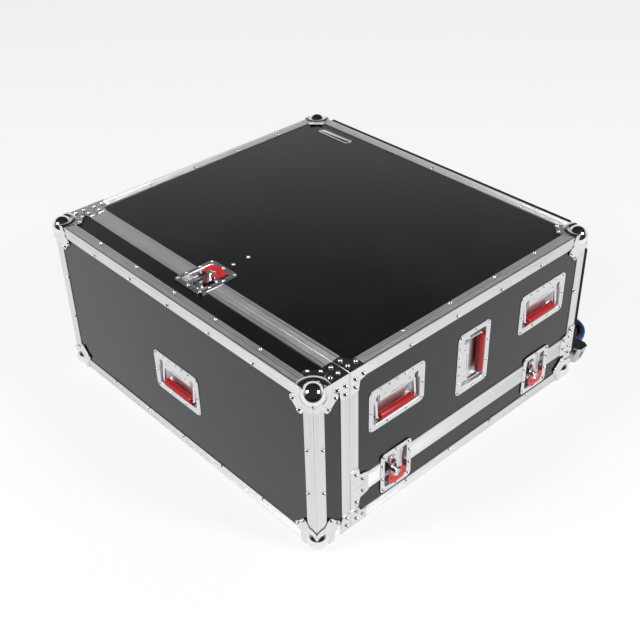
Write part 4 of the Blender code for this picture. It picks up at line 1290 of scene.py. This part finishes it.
@dataclass
class Handles:
    """Seven recessed handles: pressed dish, slotted hinge plate, steel bail and red grip."""

    length: float = 175.0 * MM
    width: float = 113.0 * MM
    rim: float = 14.0 * MM
    depth: float = 18.0 * MM
    flange: float = -0.3 * MM
    spread: float = 60.0 * MM
    axle: Point = (30.0 * MM, -9.0 * MM)
    axle_radius: float = 4.5 * MM
    axle_reach: float = 73.0 * MM
    grip: Point = (-30.0 * MM, -5.0 * MM)
    grip_radius: float = 10.0 * MM
    grip_length: float = 104.0 * MM
    bail_radius: float = 3.8 * MM
    bend: float = 9.0 * MM
    bail_end: float = 6.0 * MM
    sleeve: Point = (4.7 * MM, 8.0 * MM)
    plate_reach: float = 25.5 * MM
    slot_top: float = 7.1 * MM
    slot_half: float = 5.5 * MM
    slit_half: float = 23.0 * MM
    slit_rise: Point = (5.0 * MM, 6.6 * MM)
    hole: Triple = (38.0 * MM, 14.0 * MM, 2.4 * MM)
    rivet_inset: float = 7.0 * MM
    up_and_out: dict[str, tuple[Triple, Triple]] = field(default_factory=lambda: {
        f"{side.label}_{place}": ((0, -1, 0) if place == "middle" else (0, 0, 1), (side.value, 0, 0))
        for side in Side for place in ("front", "middle", "rear")} | {"front": ((0, 0, 1), (0, -1, 0))})

    def model_dish(self) -> Piece:
        """Model the pressed dish."""
        steps = ((1.2 * MM, 0.985, 0.98), (self.depth - 2.4 * MM, 0.975, 0.965), (1.2 * MM, 0.97, 0.95))
        tray = Pressing("dish", (self.length, self.width), middle=0.0, level=self.flange, corner=14.0 * MM,
                        rim=self.rim, wall=1.2 * MM, turned=1.2 * MM, soft=0.45 * MM, steps=steps)
        return tray.model("tray_steel")

    def model_cover(self) -> Piece:
        """Model the plate over the axle, with slots for the bail, a long slit and small holes."""
        top = self.width / 2 - self.rim
        low = top - self.plate_reach
        x = self.length / 2 - self.rim + 0.5 * MM
        near, far = self.spread - self.slot_half, self.spread + self.slot_half
        right = [(near, low), (near, top - self.slot_top), (far, top - self.slot_top), (far, low), (x, low),
                 (x, top + 0.5 * MM)]
        left = [(-px, py) for px, py in reversed(right)]
        bench = Bench.trace("hinge_cover", right + left, self.flange - 1.3 * MM)
        bench.round_corners(0.8 * MM, 2).rise(1.2 * MM).closed()
        foot, head = (low + rise for rise in self.slit_rise)
        bench.carve(Bench.block("slit", (-self.slit_half, foot, -0.1), (self.slit_half, head, 0.1)).take())
        across, up, radius = self.hole
        for spot in (-across, across):
            bench.carve(Bench.drum("hole", -0.1, 0.1, radius, 16, (spot, low + up)).take())
        return dress(bench.soften(0.25 * MM).take(), "tray_steel")

    def model_bail(self) -> Piece:
        """Model the bent steel bail on its axle."""
        up, axle_z = self.axle
        grip_y, grip_z = self.grip
        straight = (0.0, grip_y + self.bend - up, grip_z - axle_z)
        bench = Bench("bail", bpy.ops.mesh.primitive_circle_add, vertices=16, radius=self.bail_radius,
                      location=(self.spread, up, axle_z), rotation=(QUARTER, 0.0, 0.0))
        bench.extrude(straight)
        bench.spin(-QUARTER, 8, UP, (self.spread - self.bend, grip_y + self.bend, grip_z))
        bench.extrude((-self.bail_end, 0.0, 0.0)).pick(Pick.EDGES, lambda e: e.is_boundary)
        bpy.ops.mesh.edge_face_add()
        bench.closed().modifier("MIRROR", use_axis=(True, False, False), use_mirror_merge=False)
        bar = Bench.drum("axle", -self.axle_reach, self.axle_reach, self.axle_radius, 20)
        bar.turn(QUARTER, "Y").shift((0.0, up, axle_z))
        bar.pick(Pick.FACES, lambda f: abs(f.normal.x) > 0.9).inset(1.0 * MM, 0.8 * MM)
        steel = dress(Bench.join("bail", [bench.closed().take(40.0), bar.take(40.0)]), "rivet_steel")
        sleeves = []
        for way in (-1.0, 1.0):
            sleeve = Bench.drum("sleeve", 0.0, self.sleeve[1], self.sleeve[0], 24)
            sleeve.turn(QUARTER, "X").shift((way * self.spread, up - self.axle_radius, axle_z + 0.6 * MM))
            sleeves.append(dress(sleeve.soften(0.4 * MM).take(), "black_plastic"))
        return Bench.join("bail", [steel, *sleeves])

    def model_grip(self) -> Piece:
        """Model the moulded grip: a bar with rounded ends that are sunk round the bail."""
        half = self.grip_length / 2
        bench = Bench.drum("grip", -half, half, self.grip_radius, 40)
        bench.pick(Pick.FACES, lambda f: abs(f.normal.z) > 0.9)
        bench.inset(self.grip_radius * 0.42).inset(0.6 * MM, -0.9 * MM)
        bench.pick(Pick.EDGES, lambda e: all(abs(abs(v.co.z) - half) < 1e-5 and
                                             v.co.xy.length > self.grip_radius * 0.98 for v in e.verts))
        bench.bevel(2.2 * MM, 5).everything().turn(QUARTER, "Y").shift((0.0, *self.grip))
        return dress(bench.closed().take(40.0), "red_grip")

    def rivet_points(self) -> list[Point]:
        """Places of the small rivets round the flange."""
        x, y = self.length / 2 - self.rivet_inset, self.width / 2 - self.rivet_inset
        corner = [(s * (x - MM), t * (y - MM)) for s in (-1, 1) for t in (-1, 1)]
        top = [(px * MM, y) for px in (-50, -25, 0, 25, 50)]
        return corner + top + [(-x, -4.0 * MM), (x, -4.0 * MM), (-30 * MM, -y), (30 * MM, -y)]

    def build(self) -> None:
        """Place the seven handles."""
        dish = Bench.join("dish", [self.model_dish(), self.model_cover()])
        bail, grip = self.model_bail(), self.model_grip()
        for name, (up, out) in self.up_and_out.items():
            body, swing, node = "cover" if name == "front" else "lid", "grip_" + name, "handle_dish_" + name
            matrix = CASE.hardware(node, up, out)
            place(dish, "handle_tray_" + name, matrix, body, "handle_dish", node)
            place(bail, "handle_bail_" + name, matrix, swing, "handle_dish", "handle_" + name)
            place(grip, "handle_grip_" + name, matrix, swing, "grip")
            RIVETS[body].put(matrix, self.rivet_points(), self.flange, 0.66)
        Bench.discard(dish, bail, grip)


@dataclass
class Latches:
    """Five butterfly latches across the seams."""

    width: float = 100.0 * MM
    rotor_side: float = 71.0 * MM
    keeper_side: float = 45.0 * MM
    depth: float = 13.0 * MM
    top: float = 1.5 * MM
    rotor: float = -31.0 * MM
    fold: float = 4.2 * MM
    boss_radius: float = 9.5 * MM
    boss_top: float = 5.8 * MM
    pad: Point = (-24.5 * MM, -8.5 * MM)
    pad_size: float = 15.0 * MM
    catch_half: float = 15.0 * MM
    catch_span: Point = (20.8 * MM, 30.2 * MM)
    ribs: Triple = (22.0 * MM, 25.2 * MM, 28.4 * MM)
    rib_half: Point = (13.0 * MM, 0.8 * MM)
    disc_radius: float = 16.0 * MM
    pin: Point = (1.75 * MM, 15.0 * MM)
    rivet_inset: float = 6.5 * MM
    rivet_seam: Point = (-29.0 * MM, 10.0 * MM)
    sites: dict[str, tuple[Triple, Triple]] = field(default_factory=lambda: {
        f"{side.label}_{place}": ((0, 0, 1), (side.value, 0, 0)) for side in Side for place in ("front", "rear")
    } | {"top": ((0, -1, 0), (0, 0, 1))})

    def matrix(self, name: str) -> Matrix:
        """The frame of a latch.

        Args:
            name: The latch's place.

        Returns:
            The frame, on the seam: Y from the rotor to the keeper.
        """
        up, out = self.sites[name]
        low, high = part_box("latch_dish_" + name)
        reach = abs((high - low).dot(Vector(up))) / 2 + CASE.seam / 2
        return CASE.hardware("latch_dish_" + name, up, out, reach)

    def model_dish(self) -> Piece:
        """Model the whole dish."""
        steps = ((1.5 * MM, 0.98, 0.985), (self.depth - 1.6 * MM, 0.97, 0.98), (1.4 * MM, 0.96, 0.97))
        tray = Pressing("latch_dish", (self.width, self.rotor_side + self.keeper_side),
                        middle=(self.keeper_side - self.rotor_side) / 2, level=self.top, corner=12.0 * MM,
                        rim=13.0 * MM, wall=1.0 * MM, turned=1.6 * MM, soft=0.4 * MM, steps=steps)
        return tray.model("dish_steel")

    def halves(self) -> dict[str, Piece]:
        """Saw the dish along the seam into the rotor's half and the keeper's half."""
        whole = self.model_dish()
        parts = {}
        for half, way in (("rotor", 1.0), ("keeper", -1.0)):
            bench = Bench.reopen(Bench.copy(whole, half, Matrix.Identity(4)))
            parts[half] = bench.saw((0.0, -way * CASE.seam / 2, 0.0), (0.0, way, 0.0)).take()
        Bench.discard(whole)
        return parts

    def model_catch(self) -> Piece:
        """Model the keeper's catch: a plate with upright ribs that the hook draws against."""
        floor = -self.depth + 0.2 * MM
        near, far = self.catch_span
        bench = Bench.block("catch", (-self.catch_half, near, floor), (self.catch_half, far, floor + 1.6 * MM))
        parts = [bench.soften(0.5 * MM).take()]
        x, half = self.rib_half
        for y in self.ribs:
            rib = Bench.block("rib", (-x, y - half, floor + MM), (x, y + half, floor + 5 * MM))
            parts.append(rib.tops().scale((0.82, 1.0, 1.0), (0.0, y, 0.0)).soften(0.4 * MM).take())
        return dress(Bench.join("catch", parts), "dish_steel")

    def model_pad(self) -> Piece:
        """Model the black pad beside the boss."""
        x, y = self.pad
        half = self.pad_size / 2
        pad = Bench.block("pad", (x - half, y - half, -self.depth + 0.2 * MM), (x + half, y + half, -2.5 * MM))
        pad.tops().inset(2.0 * MM).inset(0.4 * MM, -0.8 * MM)
        return dress(pad.soften(0.6 * MM).take(), "black_plastic")

    def model_rotor(self) -> Piece:
        """Model the turning disc, its boss and the wing's pin."""
        low = -self.depth + 0.3 * MM
        disc = Bench.drum("rotor", low, low + 2.7 * MM, self.disc_radius, 48, (0.0, self.rotor))
        disc.tops().inset(2.0 * MM).inset(0.5 * MM, -0.6 * MM)
        boss = Bench.drum("boss", low + 1.5 * MM, self.boss_top, self.boss_radius, 40, (0.0, self.rotor))
        boss.tops().inset(1.8 * MM).inset(0.3 * MM, -1.2 * MM).inset(2.2 * MM).inset(0.3 * MM, 0.8 * MM)
        pin = Bench.drum("pin", -self.pin[1], self.pin[1], self.pin[0], 16)
        pin.turn(QUARTER, "Y").shift((0.0, self.rotor, self.fold))
        parts = [disc.soften(0.4 * MM).take(), boss.soften(0.6 * MM).take(), pin.soften(0.4 * MM).take()]
        return dress(Bench.join("rotor", parts), "rivet_steel")

    def packed(self, part: str, width: float, finish: str) -> Piece:
        """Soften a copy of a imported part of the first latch, and move it to the latch's frame.

        Args:
            part: The part's name, without its place.
            width: Width of the bevels.
            finish: Name of its finish.

        Returns:
            The copy.
        """
        first = "right_front"
        obj = Bench.softened(part, f"latch_{part}_{first}", width)
        return dress(Bench.move(obj, self.matrix(first).inverted()), finish)

    def rivet_points(self, rotor: bool) -> list[Point]:
        """Places of the rivets round half a rim.

        Args:
            rotor: Whether it is the rotor's half, not the keeper's.

        Returns:
            The places in the latch's frame.
        """
        x = self.width / 2 - self.rivet_inset
        end, way, seam = ((-self.rotor_side, 1.0, self.rivet_seam[0]) if rotor else
                          (self.keeper_side, -1.0, self.rivet_seam[1]))
        row = end + way * self.rivet_inset
        corner = row + way * 2 * MM
        return [(2 * MM - x, corner), (0.0, row), (x - 2 * MM, corner), (-x, seam), (x, seam)]

    def build(self) -> None:
        """Place the five latches."""
        dish = self.halves()
        tray = Bench.join("rotor_half", [dish["rotor"], self.model_pad()])
        keeper = Bench.join("keeper_half", [dish["keeper"], self.model_catch()])
        rotor, wing = self.model_rotor(), self.packed("wing", 0.8 * MM, "red_wing")
        hook = self.packed("hook", 0.3 * MM, "rivet_steel")
        for name in self.sites:
            own, other = ("lid", "cover") if name == "top" else ("base", "lid")
            m = self.matrix(name)
            place(tray, "latch_tray_" + name, m, own, "latch_dish", "latch_dish_" + name)
            place(keeper, "latch_keeper_" + name, m, other, "latch_dish")
            place(rotor, "latch_boss_" + name, m, "rotor_" + name, "latch_metal", "latch_rotor_" + name)
            place(wing, "latch_grip_" + name, m, "wing_" + name, "wing", "latch_wing_" + name)
            place(hook, "latch_draw_" + name, m, "hook_" + name, "latch_metal", "latch_hook_" + name)
            RIVETS[own].put(m, self.rivet_points(True), self.top, 0.85)
            RIVETS[other].put(m, self.rivet_points(False), self.top, 0.85)
        Bench.discard(tray, keeper, rotor, wing, hook)


@dataclass
class Casters:
    """Two braked casters on the board behind the base."""

    inset: float = 108.0 * MM
    board: float = 12.0 * MM
    height: float = 66.0 * MM
    droop: float = math.radians(15.0)
    trail: float = 35.0 * MM
    axle_height: float = 75.0 * MM
    radius: float = 50.0 * MM
    width: float = 34.0 * MM
    bore: float = 6.3 * MM
    leg: float = 22.5 * MM
    plate: Point = (100.0 * MM, 85.0 * MM)
    race: Point = (30.0 * MM, 12.0 * MM)
    bolt_spots: Point = (40.0 * MM, 33.0 * MM)
    bolt: Triple = (6.0 * MM, 3.2 * MM, 7.6 * MM)
    nut: Point = (7.0 * MM, 4.0 * MM)
    king_pin: Triple = (9.0 * MM, 16.0 * MM, 20.0 * MM)
    soft: float = 0.5 * MM

    def frame_of(self, side: Side) -> Matrix:
        """A caster's frame on the board.

        Args:
            side: The caster's side.

        Returns:
            The frame: X along its trail, Z to the rear on the swivel axis.
        """
        trail = Vector((side.value * math.cos(self.droop), 0.0, -math.sin(self.droop)))
        spot = CASE.at(side.value * (CASE.half - self.inset), CASE.depth + self.board, self.height)
        return basis(trail, Vector(AFT).cross(trail), AFT, spot)

    def model_tyre(self) -> Piece:
        """Model the elastic tyre: a crowned tread with rounded shoulders."""
        r, h = self.radius, self.width / 2
        half = [(r * 0.77, -h * 0.78), (r * 0.80, -h * 0.93), (r * 0.88, -h * 0.97),
                (r * 0.95, -h * 0.88), (r * 0.985, -h * 0.62), (r, -h * 0.2)]
        return dress(Bench.lathe("tyre", there_and_back(half), 64).take(35.0), "blue_tyre")

    def model_hub(self) -> Piece:
        """Model the hub with a raised boss, a dished web and a rim under the tyre."""
        r, h, b = self.radius, self.width / 2, self.bore
        half = [(b, -h), (b + 5.5 * MM, -h), (b + 8 * MM, -h * 0.86), (b + 13 * MM, -h * 0.74),
                (b + 15 * MM, -h * 0.2), (r * 0.66, -h * 0.16), (r * 0.70, -h * 0.66), (r * 0.72, -h * 0.82),
                (r * 0.77, -h * 0.82)]
        return dress(Bench.lathe("hub", there_and_back(half), 64).take(35.0), "dark_paint")

    def model_bolts(self) -> Piece:
        """Model the axle's nuts and the swivel's king pin."""
        parts = []
        for way in (-1.0, 1.0):
            nut = Bench.drum("nut", 0.0, self.nut[1], self.nut[0], 6)
            nut.tops().inset(2.4 * MM).rise(1.6 * MM).everything()
            nut.turn(-way * QUARTER, "X").shift((self.trail, way * (self.leg + 0.5 * MM), self.axle_height))
            parts.append(nut.closed().soften(0.4 * MM).take())
        radius, low, high = self.king_pin
        pin = Bench.drum("king_pin", low, high, radius)
        parts.append(pin.tops().inset(2.0 * MM, 1.2 * MM).soften(0.5 * MM).take())
        return dress(Bench.join("bolts", parts), "zinc")

    def model_plate(self) -> Piece:
        """Model the top plate with its ball race and four bolts."""
        low = 0.3 * MM
        slab = Bench.sheet("plate", self.plate, low, 8.0 * MM).rise(3.0 * MM).closed()
        parts = [slab.soften(0.4 * MM).take()]
        reach, top = self.race
        race = Bench.drum("race", low + 1.5 * MM, top, reach, 48)
        race.tops().inset(1.5 * MM, 0.0).inset(2.0 * MM, -0.8 * MM)
        race.pick(Pick.EDGES, lambda e: all(v.co.z > top - 0.1 * MM and v.co.xy.length > reach - 0.1 * MM
                                            for v in e.verts))
        parts.append(race.bevel(2.5 * MM, 4).closed().take(35.0))
        x, y = self.bolt_spots
        radius, foot, head = self.bolt
        for spot in ((-x, -y), (-x, y), (x, -y), (x, y)):
            bolt = Bench.drum("bolt", foot, head, radius, 6, spot)
            parts.append(bolt.tops().inset(1.5 * MM, 0.5 * MM).closed().soften(0.4 * MM).take())
        return dress(Bench.join("plate", parts), "zinc")

    def build(self) -> None:
        """Place both casters, each piece on its own moving body."""
        tyre, hub, bolts, plate = self.model_tyre(), self.model_hub(), self.model_bolts(), self.model_plate()
        axle = Matrix.Translation((self.trail, 0.0, self.axle_height)) @ Matrix.Rotation(QUARTER, 4, "X")
        for side in Side:
            name = side.label
            m = self.frame_of(side)
            square = Matrix.Translation(m.to_translation()) @ Matrix.Rotation(-QUARTER, 4, "X")
            place(plate, "caster_mount_" + name, square, "base", "zinc", "caster_plate_" + name)
            place(hub, "caster_hub_" + name, m @ axle, "wheel_" + name, "fork", "caster_wheel_" + name)
            place(tyre, "caster_tyre_" + name, m @ axle, "wheel_" + name, "wheel")
            fork = Bench.softened("caster_yoke_" + name, "caster_fork_" + name, self.soft)
            settle(dress(fork, "dark_paint"), "fork_" + name, "fork", "caster_fork_" + name)
            place(bolts, "caster_bolts_" + name, m, "fork_" + name, "zinc")
            pedal = Bench.softened("caster_brake_" + name, "caster_pedal_" + name, self.soft)
            # The pedal gets the darker copy of the zinc, which is painted shade.
            settle(dress(pedal, "pedal_steel"), "pedal_" + name, "zinc", "caster_pedal_" + name)
        Bench.discard(tyre, hub, bolts, plate)


@dataclass
class Trim:
    """The foam bed, the bare badge plate and the rivets along the edging. Rows are in millimetres."""

    badge: Point = (126.0 * MM, 26.0 * MM)
    badge_from_left: float = 149.0 * MM
    badge_from_front: float = 849.0 * MM
    edge_line: float = 24.0 * MM
    pitch: float = 151.5 * MM
    back_rivet: float = 272.0 * MM
    lid_rows: tuple[float, ...] = (284.0, 436.0, 588.0, 736.0)
    upright_rows: tuple[float, ...] = (157.0, 280.0)
    extra: tuple[float, ...] = (195.0, 241.0)

    def build_foam(self) -> None:
        """Model the foam bed with rounded corners and soft upper edges."""
        low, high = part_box("base_foam")
        bench = Bench.block("foam_bed", low, high)
        bench.pick(Pick.EDGES, lambda e: abs(e.verts[0].co.z - e.verts[1].co.z) > 0.01).bevel(20.0 * MM, 6)
        bench.pick(Pick.EDGES, lambda e: all(v.co.z > high.z - MM for v in e.verts)).bevel(5.0 * MM, 4)
        foam = dress(bench.closed().take(40.0), "foam")
        settle(foam, "base", "foam", "base_foam")

    def build_badge(self) -> None:
        """Model the bare plate: a pressed pill with a raised rim."""
        bench = Bench.sheet("badge", self.badge, 0.0, self.badge[1] * 0.48, 8)
        bench.rise(1.6 * MM).closed().tops().inset(2.4 * MM).inset(0.5 * MM, -0.9 * MM)
        bench.inset(3.0 * MM).inset(0.4 * MM, 0.4 * MM)
        plate = dress(bench.closed().soften(0.25 * MM).take(), "plate_steel")
        spot = CASE.at(self.badge_from_left - CASE.half, self.badge_from_front, CASE.height - CASE.skin)
        place(plate, "badge_plate", Matrix.Translation(spot), "lid", "ball_corner")
        Bench.discard(plate)

    def note_rivets(self) -> None:
        """Note the rivets along the corner angles and the two behind the top latch."""
        c, line = CASE, self.edge_line
        lid, base, cover = (RIVETS[body].put for body in ("lid", "base", "cover"))
        across = [k * self.pitch for k in range(-2, 3)]
        rows = [y * MM for y in self.lid_rows]
        ups = [z * MM for z in self.upright_rows]
        front = basis((1, 0, 0), UP, FORWARD, c.at(0, 0, 0))
        for side in Side:
            face = c.side_face(side)
            lid(face, [(y, c.height - line) for y in rows])
            lid(c.level_face(side, True), [(y, line) for y in rows])
            lid(face, [(c.depth - line, self.back_rivet)])
            base(face, [(y, line) for y in rows])
            base(c.level_face(side, False), [(y, line) for y in rows])
            cover(face, [(line, z) for z in ups])
            cover(front, [(side.value * (c.half - line), z) for z in ups])
        for level in (line, c.height - line):
            cover(front, [(x, level) for x in across])
        top = Matrix.Translation(c.at(0, 0, c.height))
        cover(top, [(x, line) for x in across])
        lid(top, [(x, c.depth - line) for x in across])
        lid(top, [(0.0, y * MM) for y in self.extra], -c.skin, 1.1)
        floor = Matrix.Translation(c.at(0, 0, 0)) @ Matrix.Diagonal((1, -1, -1, 1))
        cover(floor, [(x, -line) for x in across])
        base(floor, [(x, line - c.depth) for x in across])

    def dress_boards(self) -> None:
        """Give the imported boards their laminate."""
        for node in ("base_shell", "cover_shell", "lid_top_back", "lid_left_panel", "lid_right_panel"):
            dress(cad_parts[node], "black_laminate")
            LOG.info("%s keeps its packed shape", node)
        dress(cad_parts["caster_board"], "board_paint")

    def build(self) -> None:
        """Make everything here."""
        self.dress_boards()
        self.build_foam()
        self.build_badge()
        self.note_rivets()


@dataclass
class Studio:
    """Pale floor, soft lamps, a dark ceiling and the camera at the photograph's angle."""

    behind: Triple = (-0.744, 0.668, 0.0)
    sweep_end: float = 1.25
    eye: Triple = (1.677, -1.562, 1.742)
    forward: Triple = (-0.6087, 0.5467, -0.5750)
    right: Triple = (0.6789, 0.7339, -0.0210)
    lens: float = 58.13
    sensor: float = 36.0
    floor_size: float = 14.0
    floor_drop: float = 0.5 * MM
    lamp_spots: tuple[Triple, ...] = ((-0.9, -3.2, 2.9), (3.2, 0.9, 2.9))
    lamp_aim: Triple = (0.0, 0.0, 0.2)
    lamp_size: float = 1.2
    lamp_power: float = 125.0
    backdrop: tuple[Point, ...] = ((0.0, 1.0), (0.38, 0.85), (0.45, 0.50), (0.50, 0.10), (0.54, 0.02),
                                   (1.0, 0.02))

    def camera(self) -> None:
        """Place the camera."""
        data = bpy.data.cameras.new("camera")
        data.lens = self.lens
        data.sensor_width = self.sensor
        data.sensor_fit = "HORIZONTAL"
        ahead = Vector(self.forward).normalized()
        across = (Vector(self.right) - ahead * Vector(self.right).dot(ahead)).normalized()
        obj = link("camera", data)
        obj.matrix_world = basis(across, across.cross(ahead), -ahead, self.eye)
        bpy.context.scene.camera = obj

    def floor(self) -> None:
        """Lay the floor, which shows pale in mirrors and to the camera and keeps its shadow."""
        obj = Bench.sheet("floor", (self.floor_size, self.floor_size), -self.floor_drop, 1.0).take()
        g = Graph("floor")
        mirrored, camera, through = g.rays("Glossy", "Camera", "Transmission")
        off_sweep = (-g.along(g.place(), self.behind)).above(self.sweep_end, 0.3)
        pale = g.add("ShaderNodeBsdfDiffuse", {}, {"Color": grey(0.92)})
        white = g.add("ShaderNodeEmission", {}, {"Color": grey(1.0), "Strength": 1.0})
        black = g.add("ShaderNodeBsdfDiffuse", {}, {"Color": grey(0.02)})
        sweep = g.add("ShaderNodeMixShader", {}, {0: (mirrored | camera | through) * 0.80, 1: pale, 2: white})
        both = g.add("ShaderNodeMixShader", {}, {0: mirrored * off_sweep, 1: sweep, 2: black})
        obj.data.materials.append(g.close(both))

    def world(self) -> None:
        """Darken the sky, light a backdrop behind the case, and show white to the camera."""
        g = Graph("studio", world=True)
        way = g.add("ShaderNodeTexCoord", output="Generated")
        height = g.add("ShaderNodeSeparateXYZ", {}, {0: way}, output="Z")
        stops = [(place, grey(value)) for place, value in self.backdrop]
        backdrop = g.add("ShaderNodeValToRGB", {"stops": stops}, {0: height})
        room = g.blend(g.along(way, self.behind).above(0.0, 0.8), grey(0.03), backdrop)
        camera, through = g.rays("Camera", "Transmission")
        colour = g.blend(camera | through, room, grey(1.0))
        glow = g.add("ShaderNodeBackground", {}, {"Color": colour, "Strength": 1.0})
        bpy.context.scene.world = g.close(glow)

    def lamp(self, name: str, spot: Triple) -> None:
        """Hang a round soft lamp.

        Args:
            name: Its name.
            spot: Where it hangs.
        """
        data = bpy.data.lights.new(name, "AREA")
        data.shape = "DISK"
        data.size = self.lamp_size
        data.energy = self.lamp_power
        turn = (Vector(self.lamp_aim) - Vector(spot)).to_track_quat("-Z", "Y")
        link(name, data).matrix_world = Matrix.Translation(spot) @ turn.to_matrix().to_4x4()

    def build(self) -> None:
        """Set up camera, floor, lamps and world."""
        self.camera()
        self.floor()
        self.world()
        for name, spot in zip(("left_lamp", "right_lamp"), self.lamp_spots):
            self.lamp(name, spot)
        bpy.context.scene.view_settings.view_transform = "Standard"


def main() -> None:
    """Build the case, dress it and set up the studio."""
    logging.basicConfig(level=logging.INFO, format="%(name)s: %(message)s")
    Studio().build()
    Trim().build()
    latches = Latches()
    sides = [latches.matrix("right_" + place).translation.y - CASE.origin.y for place in ("front", "rear")]
    top = latches.matrix("top").translation.x
    Edging().build(top, sides)
    Braces().build()
    BallCorners().build()
    Handles().build()
    latches.build()
    Casters().build()
    for rivets in RIVETS.values():
        rivets.build()


if __name__ == "__main__":
    main()
